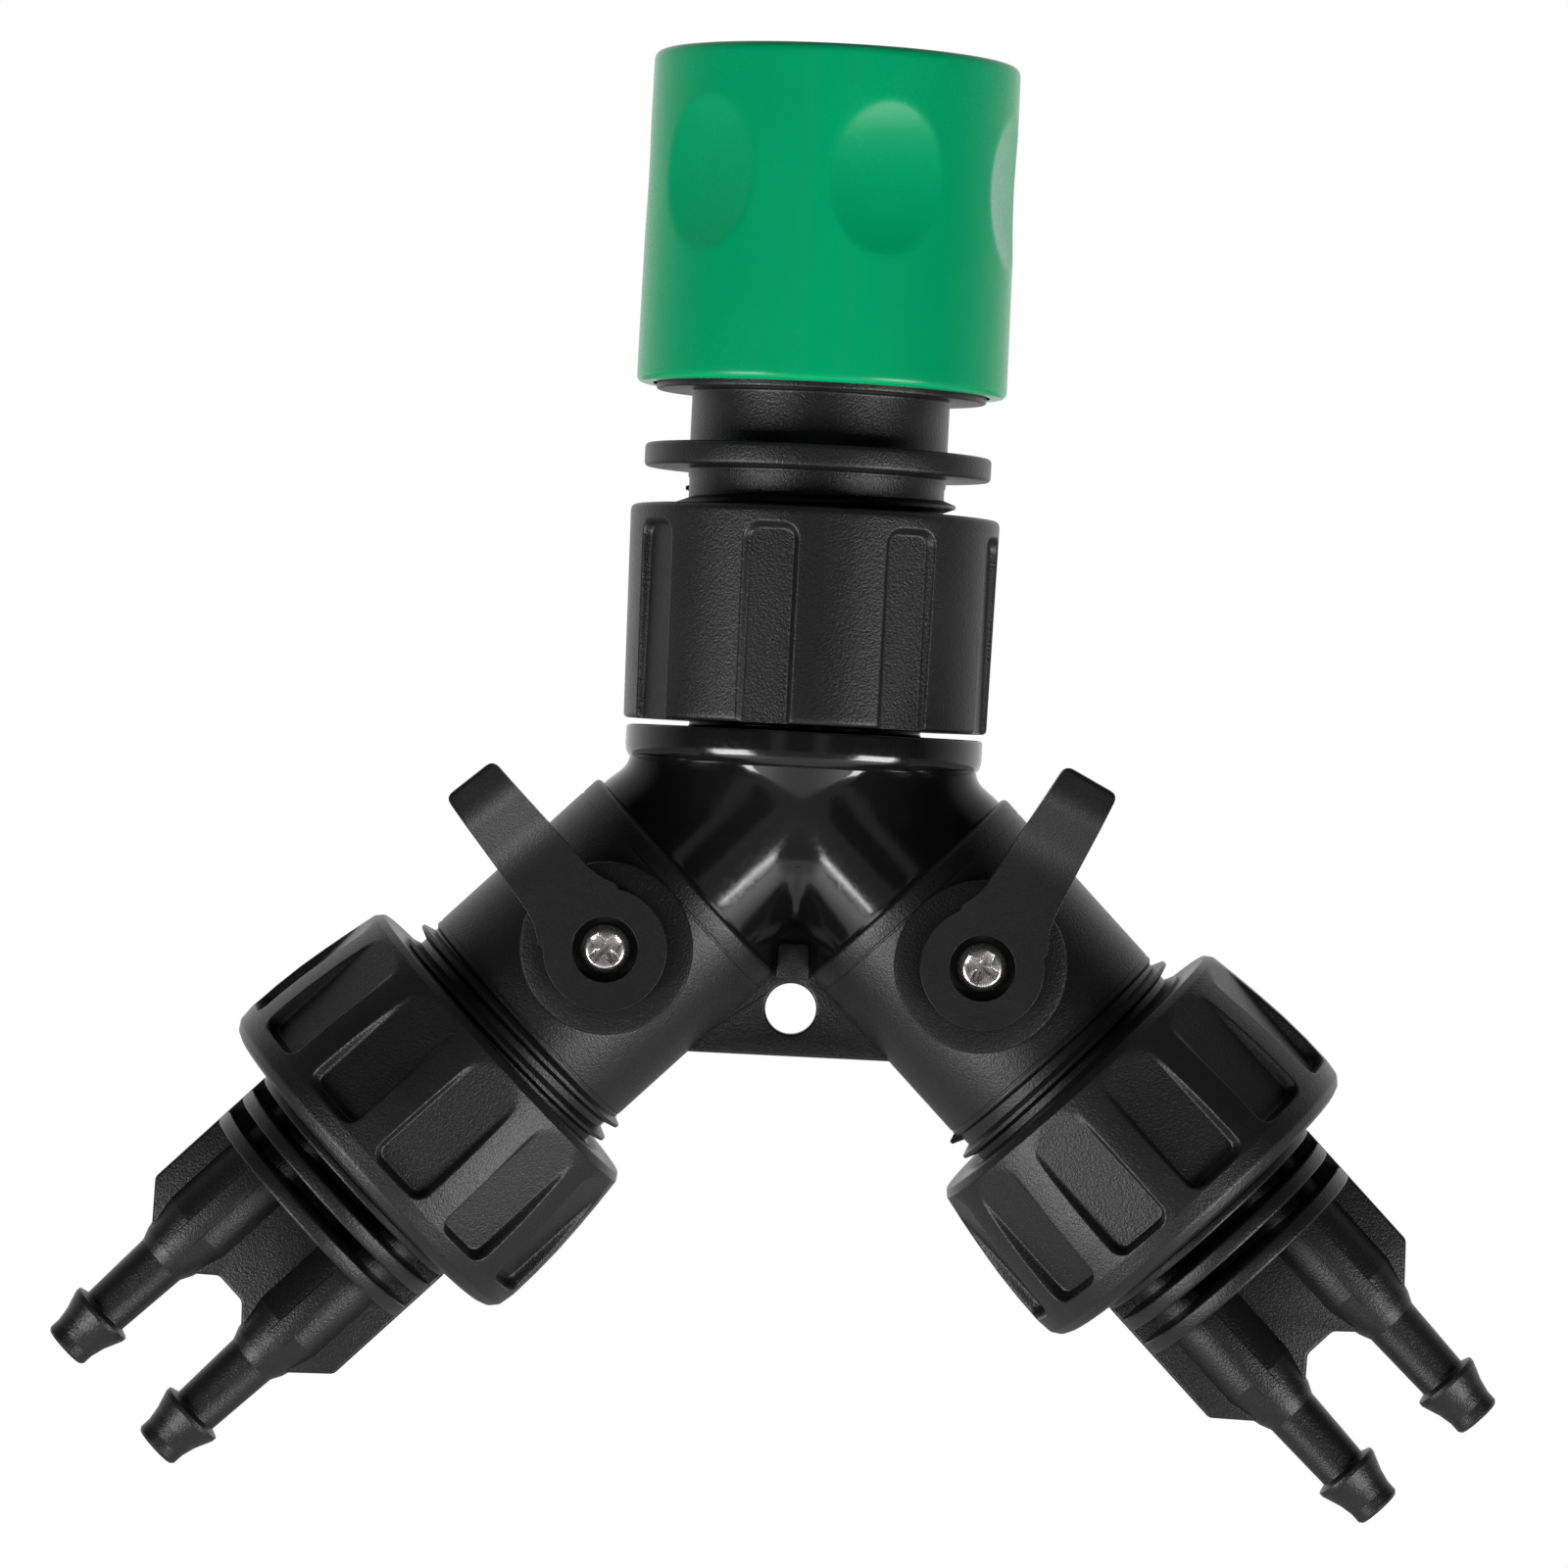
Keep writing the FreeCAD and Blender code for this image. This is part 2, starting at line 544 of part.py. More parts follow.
def stem(side):
    blank = turned(side + "_stem_blank", [
        (ZERO, d.flange_low), (d.flange_r, d.flange_low), (d.flange_r, d.flange_top),
        (d.stem_r, d.flange_top), (d.stem_r, d.stem_groove_low),
        (d.stem_groove_r, d.stem_groove_low), (d.stem_groove_r, d.stem_groove_top),
        (d.stem_r, d.stem_groove_top), (d.stem_r, d.drive_low), (ZERO, d.drive_low)])
    tang = box(side + "_tang", d.tang_half_width * TWO, d.tang_half_length * TWO,
               d.flange_top - d.tang_low, x=-d.tang_half_width, y=-d.tang_half_length,
               z=d.tang_low)
    half = d.drive_side / TWO
    drive = box(side + "_drive", d.drive_side, d.drive_side, d.stem_top - d.flange_top,
                x=-half, y=-half, z=d.flange_top)
    drive_rod = cylinder(side + "_drive_rod", d.stem_r - d.running_gap, d.stem_top)
    square_end = meet(side + "_square_end", drive, drive_rod)
    core = box(side + "_core_keep", d.stem_r * TWO, d.stem_r * TWO, d.stem_top,
               x=-d.stem_r, y=-d.stem_r, z=d.stem_groove_top)
    upper = meet(side + "_upper_end", square_end, core)
    pilot = cylinder(side + "_pilot", d.pilot_r, d.stem_top, z=d.pilot_low)
    name = side + "_stem"
    whole = join(side + "_stem_solid", [blank, tang, upper])
    node(name, cut(name, whole, [pilot]), **on_valve(side))


def stem_ring(side):
    mean = d.stem_groove_r + d.stem_ring_r
    height = (d.stem_groove_low + d.stem_groove_top) / TWO
    name = side + "_stem_ring"
    torus = ring(side + "_ring_torus", mean, d.stem_ring_r, z=height)
    node(name, join(name, [torus, torus_core(side, height)]), **on_valve(side))


def torus_core(side, height):
    """Thin inner band that lets the ring sit flat on its groove."""
    half = d.stem_ring_r / TWO
    inner = d.stem_groove_r
    return turned(side + "_ring_band", [
        (inner, height - half), (inner + half, height - half),
        (inner + half, height + half), (inner, height + half)])


def lever(side):
    name = side + "_lever"
    hub_edge = d.hub_r - d.hub_edge
    hub = turned(name + "_hub", [
        (ZERO, d.hub_low), (d.hub_r, d.hub_low), (d.hub_r, d.hub_top - d.hub_edge),
        (hub_edge, d.hub_top), (ZERO, d.hub_top)])
    side_view = milled(name + "_side", "XZ_Plane", [
        (ZERO, d.lever_low), (d.lever_bend_low, d.lever_low),
        (d.lever_bend_mid, d.lever_mid_low), (d.lever_bend_high, d.lever_tip_low),
        (d.lever_reach, d.lever_tip_low), (d.lever_reach, d.lever_tip_top),
        (d.lever_pad_start, d.lever_tip_top), (d.lever_rise_start, d.hub_top),
        (ZERO, d.hub_top)], d.hub_r)
    corner = d.lever_tip_round
    tip = d.lever_tip_half
    plan = milled(name + "_plan", "XY_Plane", [
        (ZERO, -d.lever_root_half), (d.lever_reach - corner, -tip),
        (d.lever_reach, corner - tip), (d.lever_reach, tip - corner),
        (d.lever_reach - corner, tip), (ZERO, d.lever_root_half)],
        d.lever_tip_top + d.cut_margin)
    arm = meet(name + "_arm", side_view, plan)
    lug = box(name + "_lug", d.lug_outer - d.lug_inner, d.lug_half * TWO,
              d.hub_low + d.hub_edge - d.lug_low, x=d.lug_inner, y=-d.lug_half, z=d.lug_low)
    solid = join(name + "_solid", [hub, arm, lug])
    well = cylinder(name + "_well", d.well_r, d.hub_top, z=d.well_floor)
    hole = cylinder(name + "_hole", d.screw_hole_r, d.hub_top)
    half = d.socket_side / TWO
    square = box(name + "_square", d.socket_side, d.socket_side, d.socket_top - d.lug_low,
                 x=-half, y=-half, z=d.lug_low)
    node(name, cut(name, solid, [well, hole, square]), **on_valve(side))


def lever_screw(side):
    name = side + "_lever_screw"
    blank = turned(name + "_blank", [
        (ZERO, d.screw_low), (d.screw_r, d.screw_low), (d.screw_r, d.well_floor + d.press_gap),
        (d.head_r, d.well_floor + d.press_gap), (d.head_r, d.head_shoulder),
        (d.head_crown_r, d.head_top), (ZERO, d.head_top)])
    slots = []
    for index, (along, across) in enumerate(((d.recess_reach, d.recess_half),
                                             (d.recess_half, d.recess_reach))):
        slots.append(box(name + "_slot" + str(index), along * TWO, across * TWO,
                         d.head_top + d.cut_margin - d.recess_floor, x=-along, y=-across,
                         z=d.recess_floor))
    node(name, cut(name, blank, slots), **on_valve(side))


# ---------------------------------------------------------------- inlet nut and socket

def inlet_nut():
    bore = d.thread_root_r + d.thread_bore_gap
    edge = d.inut_edge
    body = turned("inlet_nut_blank", [
        (d.inut_lip_r, d.inut_low), (d.inut_low_r - edge, d.inut_low),
        (d.inut_low_r, d.inut_low + edge), (d.inut_top_r, d.inut_top - edge),
        (d.inut_top_r - edge, d.inut_top), (d.relief_r, d.inut_top),
        (bore, d.inut_top - d.relief_r + bore), (bore, d.inut_relief_top),
        (d.relief_r, d.inut_relief_top), (d.relief_r, d.inut_lip_top),
        (d.inut_lip_r, d.inut_lip_top)])
    around(body, "flute", [
        (-d.flute_half, d.inut_low - d.cut_margin), (d.flute_half, d.inut_low - d.cut_margin),
        (d.flute_half, d.flute_top - d.flute_corner),
        (d.flute_half - d.flute_corner / TWO, d.flute_top - d.flute_corner / TWO
         + d.flute_corner / (TWO * TWO)),
        (d.flute_half - d.flute_corner, d.flute_top), (d.flute_corner - d.flute_half, d.flute_top),
        (d.flute_corner / TWO - d.flute_half, d.flute_top - d.flute_corner / TWO
         + d.flute_corner / (TWO * TWO)),
        (-d.flute_half, d.flute_top - d.flute_corner)], d.flute_floor, d.flute_count,
        d.flute_phase)
    groove = female_thread("inlet_groove", d.inlet_groove_height,
                           z=d.inlet_thread_start - d.thread_pitch, yaw=d.half_turn)
    node("inlet_nut", cut("inlet_nut", body, [groove]), **on_column())


def connector_body():
    edge = d.wrench_edge
    root = d.thread_root_r
    body = turned("connector_blank", [
        (d.through_r, d.iwasher_top), (root - d.spigot_chamfer, d.iwasher_top),
        (root, d.iwasher_top + d.spigot_chamfer), (root, d.thread_end),
        (d.shank_r, d.thread_end + d.easy_gap), (d.shank_r, d.wrench_low),
        (d.wrench_r - edge, d.wrench_low), (d.wrench_r, d.wrench_low + edge),
        (d.wrench_r, d.wrench_top - edge), (d.wrench_r - edge, d.wrench_top),
        (d.shank_r, d.wrench_top), (d.shank_r, d.rim_low), (d.rim_r, d.rim_low),
        (d.rim_r, d.rim_top), (d.core_r, d.rim_top), (d.core_r, d.core_top),
        (d.barrel_r, d.core_top), (d.barrel_r, d.socket_mouth_height),
        (d.socket_r, d.socket_mouth_height),
        (d.socket_r, d.seal_height + d.seal_groove_half),
        (d.seal_groove_r, d.seal_height + d.seal_groove_half),
        (d.seal_groove_r, d.seal_height - d.seal_groove_half),
        (d.socket_r, d.seal_height - d.seal_groove_half), (d.socket_r, d.socket_floor),
        (d.through_r, d.socket_floor)])
    ridge = male_thread("connector_thread", d.inlet_thread_height, z=d.inlet_thread_start,
                        yaw=d.half_turn)
    node("connector_body", join("connector_body", [body, ridge]), **on_column())


def nozzle_seal():
    node("nozzle_seal", ring("nozzle_seal", d.seal_mean_r, d.seal_section_r),
         z=d.seal_height - d.socket_mouth_height)


def claw_cap():
    body = turned("claw_cap", [
        (d.barrel_r + d.press_gap, d.cap_low), (d.cap_wall_out, d.cap_low),
        (d.cap_wall_out, d.cap_head_low), (d.cap_head_r, d.cap_head_low),
        (d.cap_head_r, d.cap_head_top), (d.cap_entry_r, d.cap_head_top),
        (d.cap_mouth_r, d.cap_head_low + d.easy_gap), (d.cap_mouth_r, d.cap_head_low),
        (d.cap_wall_in, d.cap_head_low), (d.cap_wall_in, d.cap_base_top),
        (d.barrel_r + d.press_gap, d.cap_base_top)])
    around(body, "window", [
        (-d.window_half, d.window_low), (d.window_half, d.window_low),
        (d.window_half, d.window_top), (-d.window_half, d.window_top)],
        d.cap_wall_in - d.cut_margin * TWO, d.claw_count, d.square_angle)
    node("claw_cap", body, yaw=d.square_angle, **on_column())


def locking_claws():
    body = turned("locking_claws", [
        (d.claw_in, d.claw_low), (d.claw_out, d.claw_low), (d.claw_out, d.claw_top),
        (d.claw_hook_in + d.easy_gap + d.easy_gap, d.claw_top),
        (d.claw_hook_in, d.claw_top - d.claw_out + d.claw_in),
        (d.claw_hook_in, d.claw_hook_low), (d.claw_in, d.claw_hook_low)])
    around(body, "claw_gap", [
        (-d.claw_gap_half, d.claw_ring_top), (d.claw_gap_half, d.claw_ring_top),
        (d.claw_gap_half, d.claw_top + d.cut_margin),
        (-d.claw_gap_half, d.claw_top + d.cut_margin)], ZERO, d.claw_count, ZERO)
    node("locking_claws", body, **on_column())


def release_sleeve():
    top = d.sleeve_top_round
    low = d.sleeve_low_round
    share = d.round_share
    blank = turned("sleeve_blank", [
        (d.sleeve_low_in, d.sleeve_low), (d.sleeve_low_r - low, d.sleeve_low),
        (d.sleeve_low_r - low * share, d.sleeve_low + low * share),
        (d.sleeve_low_r, d.sleeve_low + low), (d.sleeve_r, d.sleeve_top - top),
        (d.sleeve_r - top * share, d.sleeve_top - top * share),
        (d.sleeve_r - top, d.sleeve_top), (d.sleeve_mouth_in, d.sleeve_top),
        (d.sleeve_mouth_in, d.sleeve_mid_top), (d.sleeve_mid_in, d.sleeve_mid_top),
        (d.sleeve_mid_in, d.cap_low - d.easy_gap), (d.sleeve_step_in, d.cap_low - d.easy_gap),
        (d.sleeve_step_in, d.sleeve_step_low), (d.sleeve_low_in, d.sleeve_step_low)])
    tools = []
    for index in range(int(d.dimple_count.value)):
        tools.append(dimple(index))
    node("release_sleeve", cut("release_sleeve", blank, tools), **on_column())


def dimple(index):
    """Shallow oval finger dimple on the sleeve."""
    item = doc.addObject("Part::Ellipsoid", "dimple" + str(index))
    bind(item, "Radius1", d.dimple_tall_r)
    bind(item, "Radius2", d.dimple_wide_r)
    bind(item, "Radius3", d.dimple_depth_r)
    turn = "(" + d.dimple_phase.text + " + " + str(index) + " * " + d.full_turn.text
    turn += " / " + d.dimple_count.text + ")"
    across = formula("(" + d.dimple_centre_r.text + " * sin(" + turn + " * 1 deg))")
    back = formula("(0 - " + d.dimple_centre_r.text + " * cos(" + turn + " * 1 deg))")
    return place(item, x=across, y=back, z=d.dimple_height, yaw=formula(turn))


def sleeve_spring():
    section = doc.addObject("Part::Circle", "spring_section")
    bind(section, "Radius", d.wire_r)
    place(section, x=d.spring_r, roll=d.quarter_turn)
    spring = coil("sleeve_spring", d.spring_r, d.spring_pitch, d.spring_height, section)
    node("sleeve_spring", spring,
         z=d.rim_top + d.wire_r + d.running_gap - d.socket_mouth_height)


# ---------------------------------------------------------------- outlets

def outlet_nut(side):
    bore = d.thread_root_r + d.thread_bore_gap
    body = turned(side + "_nut_blank", [
        (d.relief_r, d.onut_start), (d.onut_face_r, d.onut_start),
        (d.onut_shoulder_r, d.onut_shoulder), (d.onut_a_r, d.onut_a), (d.onut_b_r, d.onut_b),
        (d.onut_c_r, d.onut_c), (d.onut_d_r, d.onut_d), (d.onut_e_r, d.onut_e),
        (d.onut_f_r, d.onut_f), (d.onut_g_r, d.onut_g), (d.onut_end_r, d.onut_end),
        (d.onut_lip_r, d.onut_end), (d.onut_lip_r, d.onut_lip), (d.relief_r, d.onut_lip),
        (d.relief_r, d.onut_relief), (bore, d.onut_relief),
        (bore, d.onut_start + d.relief_r - bore)])
    corner = d.grip_corner
    around(body, side + "_grip", [
        (-d.grip_half, d.onut_start - d.cut_margin), (d.grip_half, d.onut_start - d.cut_margin),
        (d.grip_half, d.grip_end - corner), (d.grip_half - corner, d.grip_end),
        (corner - d.grip_half, d.grip_end), (-d.grip_half, d.grip_end - corner)],
        d.grip_floor, d.grip_count, d.grip_phase)
    groove = female_thread(side + "_nut_groove", d.outlet_groove_height,
                           z=d.outlet_thread_start + d.thread_pitch, yaw=thread_phase(side))
    name = side + "_outlet_nut"
    node(name, cut(name, body, [groove]), **on_arm(side))


def barb(side, tag, offset):
    return place(turned(side + "_barb_" + tag, [
        (ZERO, d.disc_two), (d.barb_bore_r, d.disc_two),
        (d.stem_root_r, d.plate_notch), (d.stem_root_r, d.plate_end),
        (d.barb_stem_r, d.stem_root_end), (d.barb_neck_r, d.barb_neck), (d.barb_r, d.barb_head),
        (d.barb_r, d.barb_head + d.barb_land), (d.barb_mid_r, d.barb_mid),
        (d.barb_nose_r, d.barb_nose), (d.barb_nose_r, d.barb_tip - d.easy_gap),
        (d.barb_tip_r, d.barb_tip), (ZERO, d.barb_tip)]), x=offset)


def adapter(side):
    name = side + "_adapter"
    plug = turned(name + "_plug", [
        (ZERO, d.plug_bead_start), (d.plug_bead_r - d.easy_gap, d.plug_bead_start),
        (d.plug_bead_r, d.plug_bead_start + d.easy_gap), (d.plug_bead_r, d.plug_bead_end),
        (d.plug_r, d.plug_bead_end), (d.plug_r, d.disc_one), (d.disc_r, d.disc_one),
        (d.disc_r, d.disc_one_end), (ZERO, d.disc_one_end)])
    solids = [plug]
    for index, tag in enumerate(("two", "three")):
        low = d.disc_two
        if index:
            low = d.disc_two + d.disc_step
        solids.append(cylinder(name + "_disc_" + tag, d.disc_r, d.disc_thick, z=low))
    tip = d.plate_tip
    solids.append(milled(name + "_plate", "XZ_Plane", [
        (-d.disc_r, d.disc_one), (d.disc_r, d.disc_one), (d.disc_r, d.plate_shoulder),
        (tip, d.plate_end), (d.notch_mouth, d.plate_end), (d.notch_half, d.plate_notch),
        (-d.notch_half, d.plate_notch), (-d.notch_mouth, d.plate_end), (-tip, d.plate_end),
        (-d.disc_r, d.plate_shoulder)], d.plate_half))
    bores = [cylinder(name + "_plenum", d.plenum_r, d.plenum_end - d.plug_bead_start
                      + d.cut_margin, z=d.plug_bead_start - d.cut_margin)]
    for tag, offset in (("a", d.barb_offset), ("b", -d.barb_offset)):
        duct = turned(name + "_duct_" + tag, [
            (ZERO, d.disc_one), (d.duct_r, d.disc_one), (d.duct_r, d.plate_shoulder),
            (d.stem_root_r, d.plate_end), (ZERO, d.plate_end)])
        land = box(name + "_land_" + tag, d.land_half * TWO, d.land_rise * TWO,
                   d.land_end - d.disc_one_end, x=offset - d.land_half, y=-d.land_rise,
                   z=d.disc_one_end)
        solids += [place(duct, x=offset), land, barb(side, tag, offset)]
        bores.append(cylinder(name + "_bore_" + tag, d.barb_bore_r, d.barb_tip, x=offset,
                              z=d.plenum_end - d.cut_margin))
    node(name, cut(name, join(name + "_solid", solids), bores), **on_arm(side))


def outlet_washer(side):
    name = side + "_outlet_washer"
    low = d.spigot_end + d.press_gap
    high = d.plug_bead_start - d.press_gap
    node(name, turned(name, [
        (d.owasher_bore_r, low), (d.washer_r, low), (d.washer_r, high),
        (d.owasher_bore_r, high)]), **on_arm(side))


# ---------------------------------------------------------------- build and write

def build():
    write_sheet()
    splitter_body()
    inlet_washer()
    inlet_nut()
    connector_body()
    nozzle_seal()
    claw_cap()
    locking_claws()
    release_sleeve()
    sleeve_spring()
    for side in ("left", "right"):
        for make in (seats, seat_retainer, ball, stem, stem_ring, lever, lever_screw,
                     outlet_nut, adapter, outlet_washer):
            make(side)
    doc.recompute()


def check_and_write():
    """Refuses a broken piece, then writes one file per named piece."""
    for item in doc.Objects:
        if "Invalid" in item.State or "Error" in item.State:
            raise RuntimeError("broken object " + item.Name)
    os.makedirs("parts", exist_ok=True)
    for item in nodes:
        if item.Shape.isNull() or not item.Shape.isValid():
            raise RuntimeError("broken shape " + item.Label)
        if len(item.Shape.Solids) != 1:
            raise RuntimeError("not one solid " + item.Label)
        item.Shape.exportStep("parts/" + item.Label + ".step")
        print(item.Label, round(item.Shape.Volume, 1))


build()
check_and_write()
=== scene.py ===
"""Hose splitter: the finished look of every piece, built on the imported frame."""

import math

import bmesh
import bpy
from bpy.props import FloatProperty, FloatVectorProperty, IntProperty, PointerProperty
from mathutils import Matrix, Vector


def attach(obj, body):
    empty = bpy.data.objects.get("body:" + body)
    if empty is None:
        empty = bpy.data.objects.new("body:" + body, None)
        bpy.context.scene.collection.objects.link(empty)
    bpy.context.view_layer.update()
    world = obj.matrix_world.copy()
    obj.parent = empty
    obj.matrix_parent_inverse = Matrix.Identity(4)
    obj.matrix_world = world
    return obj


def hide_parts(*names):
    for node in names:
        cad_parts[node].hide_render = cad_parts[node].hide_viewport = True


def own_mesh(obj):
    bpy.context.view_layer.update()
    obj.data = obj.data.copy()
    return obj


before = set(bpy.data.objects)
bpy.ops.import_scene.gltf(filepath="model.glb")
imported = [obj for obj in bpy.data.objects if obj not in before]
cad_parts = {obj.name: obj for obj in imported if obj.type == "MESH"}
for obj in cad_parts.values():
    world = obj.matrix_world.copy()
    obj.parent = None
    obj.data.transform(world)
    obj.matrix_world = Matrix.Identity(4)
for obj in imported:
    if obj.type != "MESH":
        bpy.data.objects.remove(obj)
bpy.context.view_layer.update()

bl_info = {
    "name": "Hose splitter finisher",
    "version": (1, 0, 0),
    "blender": (4, 5, 0),
    "location": "3D View > Sidebar > Splitter",
    "description": "Builds the moulded, threaded and plated looks of a two-way hose splitter",
    "category": "Object",
}

SIDES = ("left", "right")
MOUTH = 58.0
PIVOT = 24.6
ARM_TURN = {"left": -135.0, "right": 135.0}
LEVER_ANGLE = {"left": 131.0, "right": 63.0}
POCKET_PHASE = {"left": -98.5, "right": -102.0}
THREAD_PHASE = {"left": 180.0, "right": 0.0}
FLUTE_PHASE = -103.5
DIMPLE_PHASE = -73.0
THREAD = {"pitch": 1.814, "root_radius": 12.06, "crest_radius": 13.2, "root_half": 0.714,
          "crest_half": 0.16}
TUBE_RADIUS = 10.2
CORE_END = 15.4
WATERWAY_RADIUS = 6.5
INLET_RADIUS = 8.0


# ------------------------------------------------------------------ places

def column_place():
    """Millimetres from the arm junction, standing on the inlet axis."""
    return Matrix.Translation((0, 0, -MOUTH * 0.001)) @ Matrix.Scale(0.001, 4)


def arm_in_column(side):
    """Turns the column so that its Z runs out along one arm."""
    return Matrix.Rotation(math.radians(ARM_TURN[side]), 4, "Y")


def arm_place(side):
    """Millimetres from the arm junction, out along one arm."""
    return column_place() @ arm_in_column(side)


def valve_place(side):
    """Millimetres from a ball's centre, stem toward the front, lever along X."""
    sign = -1 if side == "left" else 1
    reach = PIVOT * math.sqrt(0.5)
    spot = Matrix.Translation((sign * reach, 0, -reach))
    turn = Matrix.Rotation(math.radians(-LEVER_ANGLE[side]), 4, "Y")
    return column_place() @ spot @ turn @ Matrix.Rotation(math.radians(90), 4, "X")


# ------------------------------------------------------------------ mesh making

def rounded(points, steps=4):
    """Turns (r, z, radius) corners into arcs; corners with no radius stay sharp."""
    result = []
    count = len(points)
    for index, point in enumerate(points):
        here = Vector(point[:2])
        radius = point[2] if len(point) > 2 else 0.0
        before = Vector(points[index - 1][:2]) - here
        after = Vector(points[(index + 1) % count][:2]) - here
        if radius <= 0 or before.length < 1e-6 or after.length < 1e-6:
            result.append(tuple(here))
            continue
        half = before.angle(after) / 2
        if half > math.radians(86):
            result.append(tuple(here))
            continue
        back = min(radius / math.tan(half), before.length * 0.48, after.length * 0.48)
        start = here + before.normalized() * back
        end = here + after.normalized() * back
        for step in range(steps + 1):
            t = step / steps
            result.append(tuple(start * (1 - t) ** 2 + here * 2 * t * (1 - t) + end * t ** 2))
    return result


def turned(name, outline, segments=128, angles=None):
    """Closed outline turned about Z; points on the axis are merged."""
    if angles is None:
        angles = [2 * math.pi * k / segments for k in range(segments)]
    mesh = bmesh.new()
    rings = []
    for angle in angles:
        rings.append([mesh.verts.new((r * math.cos(angle), r * math.sin(angle), z))
                      for r, z in outline])
    for k, ring in enumerate(rings):
        other = rings[(k + 1) % len(rings)]
        for i in range(len(outline)):
            j = (i + 1) % len(outline)
            mesh.faces.new((ring[i], other[i], other[j], ring[j]))
    bmesh.ops.remove_doubles(mesh, verts=mesh.verts, dist=1e-5)
    bmesh.ops.dissolve_degenerate(mesh, edges=mesh.edges, dist=1e-6)
    bmesh.ops.recalc_face_normals(mesh, faces=mesh.faces)
    return link(name, mesh)


def prism(name, outline, low, high, axis="Y"):
    """Flat outline in X and Z (or X and Y) given a thickness along the other axis."""
    mesh = bmesh.new()

    def spot(point, depth):
        if axis == "Y":
            return (point[0], depth, point[1])
        return (point[0], point[1], depth)

    lower = [mesh.verts.new(spot(p, low)) for p in outline]
    upper = [mesh.verts.new(spot(p, high)) for p in outline]
    mesh.faces.new(lower)
    mesh.faces.new(upper)
    for i in range(len(outline)):
        j = (i + 1) % len(outline)
        mesh.faces.new((lower[i], lower[j], upper[j], upper[i]))
    bmesh.ops.recalc_face_normals(mesh, faces=mesh.faces)
    return link(name, mesh)


def rod(name, radius, low, high, segments=96):
    """Solid round bar along Z."""
    outline = rounded([(0, low), (radius, low), (radius, high), (0, high)])
    return turned(name, outline, segments)


def link(name, mesh):
    data = bpy.data.meshes.new(name)
    mesh.to_mesh(data)
    mesh.free()
    item = bpy.data.objects.new(name, data)
    bpy.context.scene.collection.objects.link(item)
    return item


def move(item, matrix):
    """Places a piece by moving its mesh, so its object stays at the origin."""
    item.data.transform(matrix)
    if matrix.determinant() < 0:
        item.data.flip_normals()
    return item


def bake(item):
    """Applies every modifier into a plain mesh."""
    bpy.context.view_layer.update()
    graph = bpy.context.evaluated_depsgraph_get()
    data = bpy.data.meshes.new_from_object(item.evaluated_get(graph), depsgraph=graph)
    item.modifiers.clear()
    old = item.data
    item.data = data
    if old.users == 0:
        bpy.data.meshes.remove(old)
    return item


def merge(name, items):
    """Joins pieces into one object."""
    mesh = bmesh.new()
    for item in items:
        mesh.from_mesh(item.data)
    for item in items:
        bpy.data.objects.remove(item)
    return link(name, mesh)


def combine(target, tool, operation="UNION"):
    """Exact boolean of two closed pieces; the tool is used up."""
    step = target.modifiers.new("combine", "BOOLEAN")
    step.operation = operation
    step.solver = "EXACT"
    step.object = tool
    bake(target)
    bpy.data.objects.remove(tool)
    return target


def soften(item, width, segments=3, angle=32):
    """Small moulded radius on every hard edge."""
    mesh = bmesh.new()
    mesh.from_mesh(item.data)
    bmesh.ops.remove_doubles(mesh, verts=mesh.verts, dist=1e-4)
    bmesh.ops.dissolve_limit(mesh, angle_limit=math.radians(1.0), verts=mesh.verts,
                             edges=mesh.edges)
    mesh.to_mesh(item.data)
    mesh.free()
    step = item.modifiers.new("edge", "BEVEL")
    step.width = width
    step.segments = segments
    step.limit_method = "ANGLE"
    step.angle_limit = math.radians(angle)
    step.use_clamp_overlap = True
    step.miter_outer = "MITER_ARC"
    return bake(item)


def smooth(item, angle=35):
    item.data.shade_smooth()
    item.data.set_sharp_from_angle(angle=math.radians(angle))
    return item


def even_normals(item, angle=35):
    """Keeps flat faces flat between their rounded edges."""
    smooth(item, angle)
    step = item.modifiers.new("normals", "WEIGHTED_NORMAL")
    step.keep_sharp = True
    return bake(item)


def remesh(item, size, rounds):
    """Melts overlapping solids into one skin with soft inner and outer corners."""
    step = item.modifiers.new("skin", "REMESH")
    step.mode = "VOXEL"
    step.voxel_size = size
    bake(item)
    step = item.modifiers.new("relax", "SMOOTH")
    step.factor = 0.5
    step.iterations = rounds
    return bake(item)


def finish(item, material, body, nodes, angle=35):
    """Gives a placed piece its material and body, and hides the CAD nodes it stands in for."""
    if material is not None:
        item.data.materials.clear()
        item.data.materials.append(material)
    smooth(item, angle)
    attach(item, body)
    if nodes:
        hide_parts(*nodes)
    return item


# ------------------------------------------------------------------ geometry nodes

